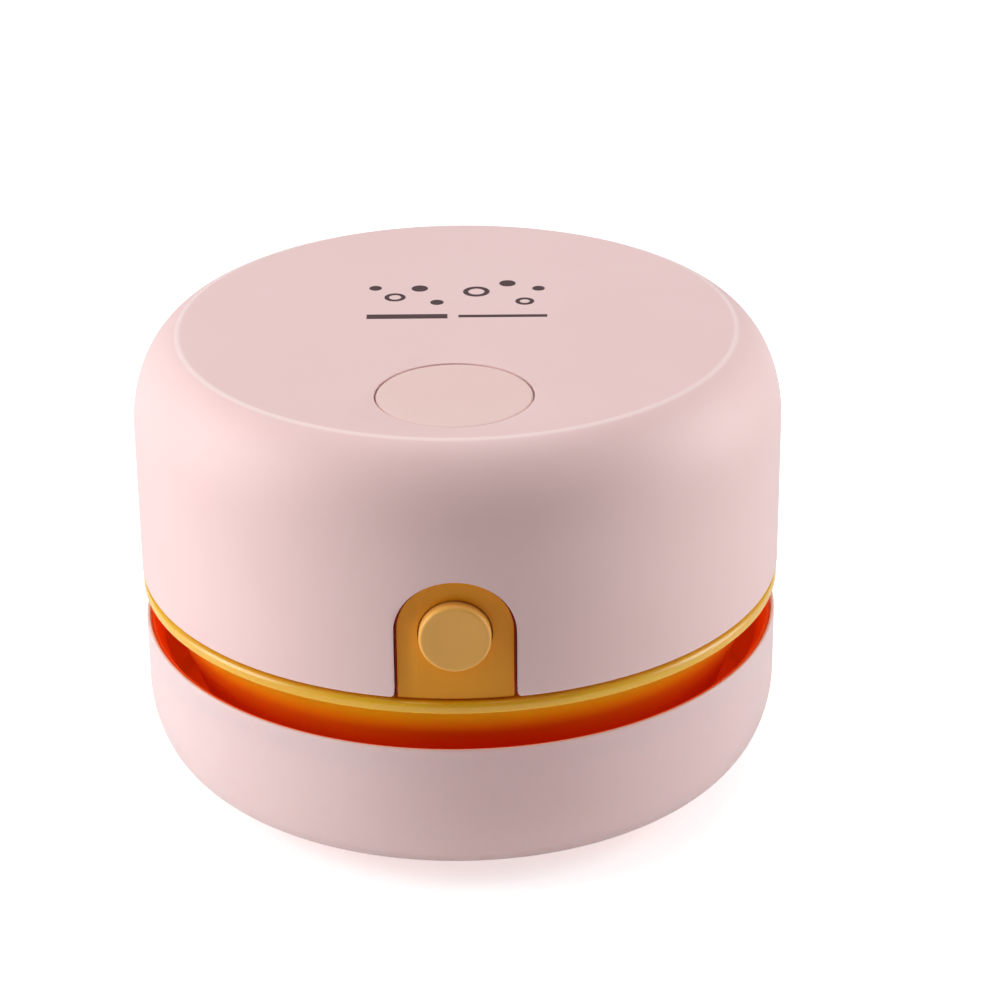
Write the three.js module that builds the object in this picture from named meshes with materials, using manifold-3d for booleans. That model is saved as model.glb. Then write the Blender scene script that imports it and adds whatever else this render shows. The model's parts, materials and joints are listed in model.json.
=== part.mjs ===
// A desktop mini vacuum cleaner: a pink top unit that stands on a dust cup with a brushed base.
// Millimetres, +Z up, front towards -Y, origin on the desk under the centre of the object.
import * as THREE from 'three';
import { mergeGeometries, mergeVertices } from 'three/addons/utils/BufferGeometryUtils.js';
import Module from 'manifold-3d';

const wasm = await Module();
wasm.setup();

// Overall
const overallHeight = 60;
const shellRadius = 41;
const brushStand = 3.4; // the bristles hold the base ring this far off the desk
const fitGap = 0.3; // kept between pieces that touch
const weldDistance = 0.00001;
const overrun = 1; // how far a cut runs past a face
const bigRoundSides = 40;
const midRoundSides = 28;
const smallRoundSides = 12;

// Top shell
const shellWall = 1.8;
const shellEdgeHeight = 28.6;
const shellEdgeRound = 0.4;
const shoulderWidth = 5.9; // from the end of the flat top out to the side
const shoulderHeight = 11.6; // from the flat top down to the straight side
const shoulderLeanDegrees = 16; // how steeply the shoulder leaves the flat top
const shoulderSteps = 7;
const innerShoulderSteps = 4;
const notchHalfWidth = 7.3;
const notchHeight = 15.65; // from the edge of the shell to the top of the arch
const notchArchRise = 6.9;
const notchCornerRound = 0.9;
const archSteps = 12;

// Screws that hold the chassis in the shell
const bossRadius = 2.4;
const bossPlaceX = 9.7;
const bossInset = 8.6; // from the inside of the shell to the middle of a screw, along Y
const screwRadius = 1.1;
const screwDepth = 7;
const screwHeadRadius = 1.8;
const screwHeadHeight = 0.9;

// Power button and its switch
const powerInset = 18.7; // from the side of the shell in to the middle of the button
const powerHoleRadius = 9.75;
const powerButtonGap = 0.35;
const powerCollarWall = 1.2;
const powerCollarDepth = 3;
const powerCapThickness = 1.6;
const powerCapWall = 1.2;
const powerCapRound = 0.4;
const powerHookReach = 1.2;
const powerHookHeight = 1;
const powerHookCount = 4;
const powerHookDegrees = 30;
const powerBossRadius = 2.2;
const powerBossDrop = 1.1;
const powerTravel = 1.5;
const switchWidth = 8.6;
const switchHeight = 6;
const switchFloor = 0.9;
const plungerWidth = 3;
const boardThickness = 1.2;
const boardWidth = 14;
const boardLength = 11;
const boardDepth = 12.3; // from the inside of the top down to the underside of the board
const boardRibWall = 1.4;

// Latch: tab, button, slider and spring
const tabRecess = 0.8; // how far the tab lies behind the shell
const tabWall = 1;
const tabGap = 0.25;
const tabDrop = 0.15; // how far the tab hangs below the edge of the shell
const releaseButtonRadius = 4.3;
const releaseButtonRise = 8.5; // from the edge of the shell to the middle of the button
const releaseButtonProud = 0.8; // beyond the shell
const releaseButtonRound = 0.45;
const releaseFlangeReach = 0.75;
const releaseFlangeWall = 1;
const releaseStemRadius = 1.6;
const releaseTravel = 1.6;
const latchLegWall = 1.4;
const latchLegTopRise = 4.6; // the legs and guide reach this far above the middle of the button
const latchGuideWall = 1.2;
const sliderWall = 1.4;
const sliderHalfWidth = 5;
const sliderTopRise = 4;
const noseHeight = 0.9;
const noseReach = 1.3;
const springWire = 0.5;
const latchSpringRadius = 2.2;
const latchSpringTurns = 3.5;

// Chassis that carries the motor, cells, fan and filter
const chassisFloor = 1.6;
const skirtWall = 1.4;
const skirtDepth = 3.2;
const columnRadius = 12.7;
const columnWall = 1.2;
const columnDrop = 2.3; // below the chassis floor
const deckRise = 2.2; // from the chassis floor up to the underside of the motor deck
const deckThickness = 1.2;
const deckHoleRadius = 3.6;
const collarRise = 9.6; // the motor collar above its deck
const collarWall = 1.2;
const exhaustNotchCount = 15;
const exhaustNotchWidth = 3;
const exhaustNotchDepth = 1;
const exhaustSweepDegrees = 196;
const windowHalfWidth = 6;
const lugCount = 3;
const lugDegrees = 24;
const lugWall = 1.2;

// Motor and fan
const motorRadius = 10.2;
const motorFlatHalf = 7.7;
const motorTopGap = 0.5; // between the terminals and the top of the shell
const motorCapLength = 3.9;
const motorCapRadius = 9.4;
const motorBossRadius = 3;
const motorBossHeight = 1;
const terminalWidth = 2.2;
const terminalWall = 0.4;
const terminalRise = 1.4;
const shaftRadius = 1;
const shaftTopGap = 8.3; // from the end of the shaft up to the end of the can
const impellerRadius = 12.2;
const impellerPlate = 1;
const impellerHubRadius = 3.2;
const bladeHeight = 4;
const bladeWall = 0.8;
const bladeCount = 9;
const bladeSweepDegrees = 62;
const bladeSteps = 6;
const bladeRootRadius = 4.6;
const fanRunGap = 0.5; // under the blades
const fanCoverThickness = 1.2;
const fanInletRadius = 6;
const fanSpokeWidth = 1.2;
const fanSpokeCount = 4;
const fanSpokeHubRadius = 1.7;

// Filter
const filterRadius = 18.2;
const filterWall = 1.2;
const filterDepth = 7.7;
const filterFlangeReach = 2.4;
const filterFlangeWall = 1.1;
const filterFloor = 1.2;
const filterRingWidth = 2.7;
const filterSpokeCount = 6;
const filterSpokeWidth = 1.4;
const filterHubRadius = 2.6;
const filterPadThickness = 2.1;
const filterWindowCount = 6;
const filterWindowWidth = 6;
const filterWindowHeight = 3;

// Cells and contacts
const cellRadius = 7.25;
const cellLength = 49.3;
const nubRadius = 2.7;
const nubLength = 1.2;
const cellInset = 17.4; // from the inside of the shell to the middle of a cell
const troughGap = 0.35;
const troughWall = 1.2;
const troughRise = 2.5; // above the middle of the cell
const troughFloor = 0.6;
const contactWall = 0.4;
const contactWidth = 8;
const contactSpringLength = 2.6;
const contactSpringRadius = 3.2;
const contactSpringTurns = 2.25;

// Dust cup
const cupRimInset = 0.1; // behind the side of the shell
const cupRimDrop = 0.5; // from the edge of the shell down to the rim
const cupBandHeight = 1.3;
const cupBandRound = 0.3;
const cupMouthInset = 4.9; // from the side of the rim in to the mouth
const cupLandDepth = 5;
const cupWall = 1.6;
const cupFloor = 1.6;
const cupOutlineShares = [[1, 1], [0.961, 0.959], [0.932, 0.886], [0.912, 0.782], [0.892, 0.658],
  [0.866, 0.534], [0.836, 0.363], [0.797, 0.207], [0.748, 0.078], [0.694, 0]];
const cupCurveSteps = 8;
const sealGrooveInset = 0.7; // from the mouth out to the groove in the rim
const sealGrooveDepth = 0.9;
const sealWidth = 1;
const sealProud = 0.5;
const inletRadius = 7;
const pipeWall = 1.4;
const pipeRise = 9.2; // above the floor of the cup
const pipeFlangeReach = 1.8;
const pipeFlangeWall = 1;
const cupBossRadius = 3.2;
const cupBossRise = 4.5;
const cupScrewCircle = 22;
const cupScrewCount = 4;
const pocketHalfWidth = 5.4;
const pocketDepth = 1.6;
const pocketDrop = 1.2; // from the top of the rim to the pocket
const pocketHeight = 1.7;

// Base ring, base plate and brushes
const ringInset = 0.2; // behind the side of the shell
const ringWall = 0.9;
const ringGap = 5.1; // from the band of the cup down to the ring
const ringFootWidth = 5.8; // the corner under the ring is a quarter of an ellipse
const ringFootHeight = 9.8;
const ringLipRound = 0.35;
const ringFlangeReach = 1.5; // from the foot of the ring inwards
const footSteps = 4;
const roundSteps = 3;
const plateFloor = 1.6;
const linerWall = 1;
const linerDrop = 0.3; // below the top of the ring
const nozzleWall = 2.5;
const nozzleDrop = 1;
const brushInnerRadius = 25.2;
const brushWidth = 4;
const brushBacking = 1;
const brushSeat = 0.8; // depth of the groove that holds the backing
const brushCount = 4;
const brushGapDegrees = 11;
const brushArcSteps = 8;
const bristleRadius = 0.27;
const bristleRowCount = 3;
const bristlesPerRow = 25;
const bristleSides = 3;
const bristleLean = 0.3;
const bristleWave = 2.4; // varies the lean from strand to strand

// Heights and places that follow from the sizes above
const degrees = Math.PI / 180;
const half = 0.5;
const shellInnerRadius = shellRadius - shellWall;
const shellInnerTop = overallHeight - shellWall;
const creaseRadius = shellRadius - shoulderWidth;
const shoulderStartHeight = overallHeight - shoulderHeight;
const bossPlaceY = shellInnerRadius - bossInset;
const powerSetback = shellRadius - powerInset;
const cellPlaceX = shellInnerRadius - cellInset;
const notchTopHeight = shellEdgeHeight + notchHeight;
const releaseButtonHeight = shellEdgeHeight + releaseButtonRise;
const chassisRadius = shellInnerRadius - fitGap;
const floorBottom = shellEdgeHeight + fitGap;
const floorTop = floorBottom + chassisFloor;
const ringRadius = shellRadius - ringInset;
const ringInnerRadius = ringRadius - ringWall;
const footCentreRadius = ringRadius - ringFootWidth;
const footCentreHeight = brushStand + ringFootHeight;
const ringFlangeTop = brushStand + ringWall;
const plateBottom = ringFlangeTop + fitGap;
const brushOuterRadius = brushInnerRadius + brushWidth;
const plateTop = plateBottom + plateFloor;
const cupBottom = plateTop + fitGap;
const cupFloorTop = cupBottom + cupFloor;
const cupRimRadius = shellRadius - cupRimInset;
const cupRimTopHeight = shellEdgeHeight - cupRimDrop;
const cupMouthRadius = cupRimRadius - cupMouthInset;
const cupBandBottom = cupRimTopHeight - cupBandHeight;
const ringTopHeight = cupBandBottom - ringGap;
const pipeRadius = inletRadius + pipeWall;
const pipeTop = cupFloorTop + pipeRise;
const sealGrooveRadius = cupMouthRadius + sealGrooveInset;
const sealGrooveOuter = sealGrooveRadius + sealWidth + 2 * fitGap;
const columnBottom = floorBottom - columnDrop;
const deckHeight = floorTop + deckRise;
const deckTop = deckHeight + deckThickness;
const bladeBottom = columnBottom + fanRunGap;
const bladeTop = bladeBottom + bladeHeight;
const motorBottom = deckTop + fitGap;
const motorCanTop = shellInnerTop - motorTopGap - motorCapLength - fitGap;
const shaftTop = motorCanTop - shaftTopGap;
const cellHeight = floorTop + troughFloor + troughGap + cellRadius;
const cavityRadius = cellRadius + troughGap;
const springSpace = contactSpringLength + 2 * fitGap;
const plateSpace = contactWall + 2 * fitGap;
const cavityHalfLength = half * (cellLength + nubLength + springSpace + plateSpace);
const troughHalfLength = cavityHalfLength + troughWall;
const tabRadius = shellRadius - tabRecess;
const tabBottom = shellEdgeHeight - tabDrop;
const releaseFace = -(shellRadius + releaseButtonProud);
const flangeFront = -(tabRadius - tabWall) + fitGap + tabCurveAtFlange();
const flangeBack = flangeFront + releaseFlangeWall;
const guideFront = flangeBack + releaseTravel + fitGap;
const guideBack = guideFront + latchGuideWall;
const sliderFront = guideBack + fitGap;
const sliderBack = sliderFront + sliderWall;
const boardRibFront = -(powerSetback + half * boardLength);
const boardHeight = shellInnerTop - boardDepth;
const switchBottom = boardHeight + boardThickness + fitGap;
const switchTop = switchBottom + switchHeight;
const powerCapUnderside = overallHeight - powerCapThickness;
const plungerTop = powerCapUnderside - powerBossDrop - fitGap;
const plungerBottom = switchBottom + switchFloor + fitGap + powerTravel;
const powerHookTop = shellInnerTop - powerCollarDepth - fitGap;

// How much the curved tab falls back behind its middle at the edge of the button's flange
function tabCurveAtFlange() {
  const inside = tabRadius - tabWall;
  const reach = releaseButtonRadius + releaseFlangeReach;
  return inside - Math.sqrt(inside ** 2 - reach ** 2);
}

// Makes one closed, outward facing solid of a geometry
function solid(geometry) {
  const bare = geometry.index ? geometry : geometry.clone();
  bare.deleteAttribute('normal');
  bare.deleteAttribute('uv');
  const welded = mergeVertices(bare, weldDistance);
  const place = welded.getAttribute('position');
  const corners = Array.from(welded.index.array);
  const faces = [];
  let volume = 0;
  const a = new THREE.Vector3();
  const b = new THREE.Vector3();
  const c = new THREE.Vector3();
  for (let i = 0; i < corners.length; i += 3) {
    const [p, q, r] = corners.slice(i, i + 3);
    if (p === q || q === r || r === p) continue;
    faces.push([p, q, r]);
    a.fromBufferAttribute(place, p);
    b.fromBufferAttribute(place, q);
    c.fromBufferAttribute(place, r);
    volume += a.dot(b.cross(c));
  }
  const facing = volume < 0 ? faces.map(([p, q, r]) => [p, r, q]) : faces;
  const mesh = new wasm.Mesh({
    numProp: 3,
    vertProperties: new Float32Array(place.array),
    triVerts: new Uint32Array(facing.flat()),
  });
  return new wasm.Manifold(mesh);
}

function geometryOf(body) {
  const mesh = body.getMesh();
  const geometry = new THREE.BufferGeometry();
  geometry.setAttribute('position', new THREE.BufferAttribute(new Float32Array(mesh.vertProperties), 3));
  geometry.setIndex(new THREE.BufferAttribute(new Uint32Array(mesh.triVerts), 1));
  geometry.computeVertexNormals();
  return geometry;
}

const joined = (bodies) => bodies.reduce((all, body) => all.add(body));
const cut = (body, tools) => tools.reduce((rest, tool) => rest.subtract(tool), body);

// A body of revolution about Z from [radius, height] points; an outline off the axis is closed
function turned(outline, sides = bigRoundSides) {
  const closed = outline[0][0] > 0 ? [...outline, outline[0]] : outline;
  const points = closed.map(([radius, height]) => new THREE.Vector2(radius, height));
  return solid(new THREE.LatheGeometry(points, sides).rotateX(Math.PI / 2));
}

function tube(inner, outer, low, high, sides = bigRoundSides) {
  return turned([[inner, low], [outer, low], [outer, high], [inner, high]], sides);
}

function disc(radius, low, high, sides = bigRoundSides) {
  return turned([[0, low], [radius, low], [radius, high], [0, high]], sides);
}

function block(lowX, highX, lowY, highY, lowZ, highZ) {
  const box = new THREE.BoxGeometry(highX - lowX, highY - lowY, highZ - lowZ);
  box.translate(half * (lowX + highX), half * (lowY + highY), half * (lowZ + highZ));
  return solid(box);
}

function rod(radius, x, y, low, high, sides = smallRoundSides) {
  return disc(radius, low, high, sides).translate([x, y, 0]);
}

// A rod along Y
function crossRod(radius, x, z, front, back, sides = smallRoundSides) {
  const shape = new THREE.CylinderGeometry(radius, radius, back - front, sides);
  shape.translate(x, half * (front + back), z);
  return solid(shape);
}

// Points [x, y] extruded up along Z
function raised(points, low, high) {
  const shape = new THREE.Shape(points.map(([x, y]) => new THREE.Vector2(x, y)));
  const body = new THREE.ExtrudeGeometry(shape, { depth: high - low, bevelEnabled: false });
  return solid(body.translate(0, 0, low));
}

// Points [x, z] extruded along Y
function drawn(points, front, back) {
  const shape = new THREE.Shape(points.map(([x, z]) => new THREE.Vector2(x, z)));
  const body = new THREE.ExtrudeGeometry(shape, { depth: back - front, bevelEnabled: false });
  return solid(body.rotateX(Math.PI / 2).translate(0, back, 0));
}

// A sector of the plan, from the middle out to a radius, as an extruded wedge
function wedge(radius, middle, spread, low, high) {
  const steps = 4;
  const points = [[0, 0]];
  for (let i = 0; i <= steps; i += 1) {
    const angle = middle + spread * (i / steps - half);
    points.push([radius * Math.cos(angle), radius * Math.sin(angle)]);
  }
  return raised(points, low, high);
}

function turnedRound(body, angle) {
  return body.rotate([0, 0, angle / degrees]);
}

// A round wire along a curve, closed at its ends
function wire(curve, steps, thickness, sides) {
  const section = new THREE.Shape();
  for (let i = 0; i < sides; i += 1) {
    const angle = 2 * Math.PI * i / sides;
    const x = half * thickness * Math.cos(angle);
    const y = half * thickness * Math.sin(angle);
    if (i === 0) section.moveTo(x, y);
    else section.lineTo(x, y);
  }
  const body = new THREE.ExtrudeGeometry(section, { steps, extrudePath: curve, bevelEnabled: false });
  return solid(body);
}

// A coil about Y from front to back, with its least gap to itself measured and printed
class Coil extends THREE.Curve {
  constructor(startRadius, endRadius, turns, front, back) {
    super();
    Object.assign(this, { startRadius, endRadius, turns, front, back });
  }

  getPoint(t, target = new THREE.Vector3()) {
    const angle = 2 * Math.PI * this.turns * t;
    const radius = this.startRadius + (this.endRadius - this.startRadius) * t;
    const along = this.front + (this.back - this.front) * t;
    return target.set(radius * Math.cos(angle), along, radius * Math.sin(angle));
  }
}

const coilSteps = 8;
const coilSides = 5;

function coil(name, startRadius, endRadius, turns, front, back) {
  const curve = new Coil(startRadius, endRadius, turns, front, back);
  const samples = 40;
  const points = curve.getPoints(Math.ceil(turns * samples));
  let least = Infinity;
  points.forEach((point, i) => {
    for (let j = i + samples / 2; j < points.length; j += 1) {
      least = Math.min(least, point.distanceTo(points[j]) - springWire);
    }
  });
  console.log(`${name}: least gap between curls ${least.toFixed(2)} mm`);
  return wire(curve, Math.ceil(turns * coilSteps), springWire, coilSides);
}

// Top shell

// The shoulder is a quarter of an ellipse that starts a little below its own crown,
// so that it leaves the flat top with a faint crease
function shoulder(flatRadius, sideRadius, top, steps) {
  const lean = shoulderLeanDegrees * degrees;
  const points = [];
  for (let i = 0; i <= steps; i += 1) {
    const angle = lean + (Math.PI / 2 - lean) * i / steps;
    const out = (Math.sin(angle) - Math.sin(lean)) / (1 - Math.sin(lean));
    const up = Math.cos(angle) / Math.cos(lean);
    points.push([
      flatRadius + (sideRadius - flatRadius) * out,
      shoulderStartHeight + (top - shoulderStartHeight) * up,
    ]);
  }
  return points;
}

// The arch of the notch in the front, or of the tab that fills it when it is drawn in by a gap
function archOutline(inset, bottom) {
  const width = notchHalfWidth - inset;
  const rise = notchArchRise - inset;
  const springing = notchTopHeight - notchArchRise;
  const points = [[-width, bottom]];
  for (let i = 0; i <= archSteps; i += 1) {
    const angle = Math.PI * (1 - i / archSteps);
    points.push([width * Math.cos(angle), springing + rise * Math.sin(angle)]);
  }
  points.push([width, bottom]);
  return points;
}

function bossPlaces() {
  return [[1, 1], [-1, 1], [-1, -1], [1, -1]].map(([x, y]) => [x * bossPlaceX, y * bossPlaceY]);
}

// Rounds the two corners where the notch meets the lower edge of the shell
function notchCorner(side) {
  const edge = side * notchHalfWidth;
  const points = [[edge, shellEdgeHeight - overrun], [edge, shellEdgeHeight + notchCornerRound]];
  for (let i = 1; i <= roundSteps; i += 1) {
    const angle = half * Math.PI * i / roundSteps;
    points.push([
      edge + side * notchCornerRound * (1 - Math.cos(angle)),
      shellEdgeHeight + notchCornerRound * (1 - Math.sin(angle)),
    ]);
  }
  points.push([edge + side * notchCornerRound, shellEdgeHeight - overrun]);
  return drawn(points, -shellRadius - overrun, -shellRadius * half);
}

function makeTopShell() {
  const outer = turned([
    [0, shellEdgeHeight],
    [shellRadius - shellEdgeRound, shellEdgeHeight],
    [shellRadius, shellEdgeHeight + shellEdgeRound],
    ...shoulder(creaseRadius, shellRadius, overallHeight, shoulderSteps).reverse(),
    [0, overallHeight],
  ]);
  const inner = turned([
    [0, shellEdgeHeight - overrun],
    [shellInnerRadius, shellEdgeHeight - overrun],
    ...shoulder(creaseRadius - shellWall, shellInnerRadius, shellInnerTop, innerShoulderSteps).reverse(),
    [0, shellInnerTop],
  ]);
  const collarBottom = shellInnerTop - powerCollarDepth;
  const fixings = [disc(powerHoleRadius + powerCollarWall, collarBottom, overallHeight, midRoundSides)
    .translate([0, -powerSetback, 0])];
  for (const [x, y] of bossPlaces()) {
    fixings.push(rod(bossRadius, x, y, floorTop + fitGap, overallHeight));
  }
  const holes = [disc(powerHoleRadius, collarBottom - overrun, overallHeight + overrun, midRoundSides)
    .translate([0, -powerSetback, 0])];
  for (const [x, y] of bossPlaces()) {
    holes.push(rod(screwRadius + fitGap, x, y, floorTop - overrun, floorTop + screwDepth));
  }
  holes.push(drawn(archOutline(0, shellEdgeHeight - overrun), -shellRadius - overrun, -shellRadius * half));
  holes.push(notchCorner(1), notchCorner(-1));
  const inside = joined(fixings).intersect(outer);
  return cut(cut(outer, [inner]).add(inside), holes);
}

// Power button, switch and board

function makePowerButton() {
  const radius = powerHoleRadius - powerButtonGap;
  const bottom = powerHookTop - powerHookHeight;
  const cap = turned([
    [0, powerCapUnderside],
    [radius - powerCapWall, powerCapUnderside],
    [radius - powerCapWall, bottom],
    [radius, bottom],
    [radius, overallHeight - powerCapRound],
    [radius - powerCapRound, overallHeight],
    [0, overallHeight],
  ], midRoundSides);
  const hooks = [];
  const ring = tube(radius - half * powerCapWall, powerHoleRadius + powerHookReach - powerButtonGap,
    bottom, powerHookTop, midRoundSides);
  for (let i = 0; i < powerHookCount; i += 1) {
    const angle = 2 * Math.PI * i / powerHookCount;
    hooks.push(ring.intersect(wedge(2 * powerHoleRadius, angle, powerHookDegrees * degrees, bottom, powerHookTop)));
  }
  const boss = disc(powerBossRadius, powerCapUnderside - powerBossDrop, powerCapUnderside + powerCapRound, smallRoundSides);
  return joined([cap, ...hooks, boss]).translate([0, -powerSetback, 0]);
}

function centredBlock(width, length, low, high) {
  return block(-half * width, half * width, -half * length, half * length, low, high).translate([0, -powerSetback, 0]);
}

function makeSwitchBody() {
  const body = centredBlock(switchWidth, switchWidth, switchBottom, switchTop);
  const well = plungerWidth + 2 * fitGap;
  return cut(body, [centredBlock(well, well, switchBottom + switchFloor, switchTop + overrun)]);
}

const makePlunger = () => centredBlock(plungerWidth, plungerWidth, plungerBottom, plungerTop);
const makeBoard = () => centredBlock(boardWidth, boardLength, boardHeight, boardHeight + boardThickness);

// Latch

function makeLatchHousing() {
  const top = releaseButtonHeight + latchLegTopRise;
  const bottom = floorTop + fitGap;
  const outerX = notchHalfWidth - tabGap - fitGap;
  const sheet = tube(tabRadius - tabWall, tabRadius, tabBottom, notchTopHeight);
  const tab = sheet.intersect(drawn(archOutline(tabGap, tabBottom), -shellRadius, -shellRadius * half));
  const innerX = outerX - latchLegWall;
  const arch = drawn(archOutline(tabGap, bottom), -shellRadius, -shellRadius * half);
  const room = joined([
    disc(shellInnerRadius - fitGap, bottom, top),
    disc(tabRadius - half * tabWall, bottom, top).intersect(arch),
  ]);
  const legs = [
    block(innerX, outerX, -tabRadius, guideBack, bottom, top),
    block(-outerX, -innerX, -tabRadius, guideBack, bottom, top),
  ].map((leg) => leg.intersect(room));
  const guide = block(-outerX, outerX, guideFront, guideBack, bottom, top);
  const bore = releaseButtonRadius + tabGap;
  return cut(joined([tab, ...legs, guide]), [
    crossRod(bore, 0, releaseButtonHeight, -shellRadius - overrun, flangeFront, midRoundSides),
    crossRod(releaseStemRadius + fitGap, 0, releaseButtonHeight, flangeFront, guideBack + overrun),
  ]);
}

function makeReleaseButton() {
  const flange = releaseButtonRadius + releaseFlangeReach;
  const outline = [
    [0, releaseFace],
    [releaseButtonRadius - releaseButtonRound, releaseFace],
    [releaseButtonRadius, releaseFace + releaseButtonRound],
    [releaseButtonRadius, flangeFront],
    [flange, flangeFront],
    [flange, flangeBack],
    [releaseStemRadius, flangeBack],
    [releaseStemRadius, guideBack],
    [0, guideBack],
  ];
  const points = outline.map(([radius, y]) => new THREE.Vector2(radius, y));
  return solid(new THREE.LatheGeometry(points, midRoundSides)).translate([0, 0, releaseButtonHeight]);
}

function makeLatchSlider() {
  const ledge = cupRimTopHeight - pocketDrop - fitGap; // the nose stays under the ledge of the cup
  const bottom = ledge - noseHeight;
  const top = releaseButtonHeight + sliderTopRise;
  const plate = block(-sliderHalfWidth, sliderHalfWidth, sliderFront, sliderBack, bottom, top);
  const noseTip = sliderFront - noseReach;
  const nose = new THREE.Shape([
    new THREE.Vector2(sliderFront + half * sliderWall, ledge),
    new THREE.Vector2(noseTip, ledge),
    new THREE.Vector2(noseTip, ledge - half * noseHeight),
    new THREE.Vector2(noseTip + half * noseReach, bottom),
    new THREE.Vector2(sliderFront + half * sliderWall, bottom),
  ]);
  const width = 2 * (sliderHalfWidth - fitGap);
  const hook = new THREE.ExtrudeGeometry(nose, { depth: width, bevelEnabled: false });
  hook.translate(0, 0, -half * width).rotateX(Math.PI / 2).rotateZ(Math.PI / 2);
  return plate.add(solid(hook));
}

function makeLatchSpring() {
  const front = sliderBack + fitGap + half * springWire;
  const back = boardRibFront - fitGap - half * springWire;
  return coil('latch_spring', latchSpringRadius, latchSpringRadius, latchSpringTurns, front, back)
    .translate([0, 0, releaseButtonHeight]);
}

// Chassis

function makeTrough(side) {
  const reach = cavityRadius + troughWall;
  const top = cellHeight + troughRise;
  const x = side * cellPlaceX;
  const body = block(x - reach, x + reach, -troughHalfLength, troughHalfLength, floorTop - half * chassisFloor, top)
    .intersect(disc(chassisRadius, floorBottom, top));
  const cavity = [
    crossRod(cavityRadius, x, cellHeight, -cavityHalfLength, cavityHalfLength, midRoundSides),
    block(x - cavityRadius, x + cavityRadius, -cavityHalfLength, cavityHalfLength, cellHeight, top + overrun),
  ];
  return { body, cavity };
}

function makeLugs() {
  const flange = filterRadius + filterFlangeReach;
  const flangeBottom = floorBottom - fitGap - filterFlangeWall;
  const lipTop = flangeBottom - fitGap;
  const lug = turned([
    [flange - half * filterFlangeReach, lipTop - lugWall],
    [flange + fitGap + lugWall, lipTop - lugWall],
    [flange + fitGap + lugWall, floorTop - half * chassisFloor],
    [flange + fitGap, floorTop - half * chassisFloor],
    [flange + fitGap, lipTop],
    [flange - half * filterFlangeReach, lipTop],
  ]);
  const lugs = [];
  for (let i = 0; i < lugCount; i += 1) {
    const angle = 2 * Math.PI * (i + half) / lugCount - half * Math.PI;
    lugs.push(lug.intersect(wedge(2 * flange, angle, lugDegrees * degrees, lipTop - lugWall, floorTop)));
  }
  return lugs;
}

function exhaustNotches() {
  const notches = [];
  for (let i = 0; i < exhaustNotchCount; i += 1) {
    const angle = half * Math.PI + exhaustSweepDegrees * degrees * (i / (exhaustNotchCount - 1) - half);
    const notch = block(chassisRadius - exhaustNotchDepth, chassisRadius + overrun,
      -half * exhaustNotchWidth, half * exhaustNotchWidth, floorBottom - overrun, floorTop + troughFloor);
    notches.push(turnedRound(notch, angle));
  }
  return notches;
}

function makeBoardRibs() {
  const wide = cellPlaceX - cavityRadius - half * troughWall;
  const narrow = half * boardWidth - fitGap;
  const low = floorTop - half * chassisFloor;
  const top = Math.min(cellHeight + troughRise, boardHeight - fitGap);
  const fronts = [boardRibFront, -powerSetback + half * boardLength - boardRibWall];
  return fronts.flatMap((front) => [
    block(-wide, wide, front, front + boardRibWall, low, top),
    block(-narrow, narrow, front, front + boardRibWall, low, boardHeight - fitGap),
  ]);
}

function makeChassis() {
  const skirtOuter = cupMouthRadius - fitGap;
  const collarInner = motorRadius + fitGap;
  const troughs = [makeTrough(1), makeTrough(-1)];
  const solids = [
    disc(chassisRadius, floorBottom, floorTop),
    tube(skirtOuter - skirtWall, skirtOuter, floorBottom - skirtDepth, floorBottom + half * chassisFloor),
    disc(columnRadius + columnWall, columnBottom, deckTop, midRoundSides),
    tube(collarInner, collarInner + collarWall, deckTop - half * deckThickness, deckTop + collarRise, midRoundSides),
    ...troughs.map((trough) => trough.body),
    ...makeBoardRibs(),
    ...makeLugs(),
  ];
  const slotHalf = sliderHalfWidth + fitGap;
  const slotFront = sliderFront - noseReach - fitGap;
  const holes = [
    disc(columnRadius, columnBottom - overrun, deckHeight, midRoundSides),
    rod(deckHoleRadius, 0, 0, deckHeight - overrun, deckTop + overrun),
    block(-windowHalfWidth, windowHalfWidth, collarInner + collarWall, columnRadius + columnWall + overrun,
      floorTop, deckTop + overrun),
    block(-slotHalf, slotHalf, slotFront, sliderBack + releaseTravel + fitGap,
      floorBottom - skirtDepth - overrun, floorTop + overrun),
    block(-slotHalf, slotHalf, -skirtOuter - overrun, slotFront + overrun,
      floorBottom - skirtDepth - overrun, floorBottom),
    ...troughs.flatMap((trough) => trough.cavity),
    ...exhaustNotches(),
  ];
  for (const [x, y] of bossPlaces()) {
    holes.push(rod(screwRadius + fitGap, x, y, floorBottom - overrun, floorTop + overrun));
  }
  return cut(joined(solids), holes);
}

function makeScrew(x, y, head, length) {
  const shank = rod(screwRadius, x, y, head + screwHeadHeight * half, head + length);
  return rod(screwHeadRadius, x, y, head, head + screwHeadHeight).add(shank);
}

// Motor and fan

function makeMotorCan() {
  const can = disc(motorRadius, motorBottom, motorCanTop, midRoundSides)
    .intersect(block(-motorFlatHalf, motorFlatHalf, -motorRadius, motorRadius, motorBottom, motorCanTop));
  const boss = rod(motorBossRadius, 0, 0, motorBottom - motorBossHeight, motorBottom + motorBossHeight);
  const bore = rod(shaftRadius + fitGap, 0, 0, motorBottom - motorBossHeight - overrun, shaftTop + fitGap);
  return cut(can.add(boss), [bore]);
}

function makeMotorCap() {
  const low = motorCanTop + fitGap;
  const high = low + motorCapLength - terminalRise;
  const cap = disc(motorCapRadius, low, high, midRoundSides)
    .intersect(block(-motorFlatHalf, motorFlatHalf, -motorRadius, motorRadius, low, high));
  const terminals = [1, -1].map((side) => {
    const y = side * half * motorCapRadius;
    return block(-half * terminalWidth, half * terminalWidth, y - half * terminalWall, y + half * terminalWall,
      high - terminalRise, high + terminalRise);
  });
  return joined([cap, ...terminals]);
}

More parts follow.
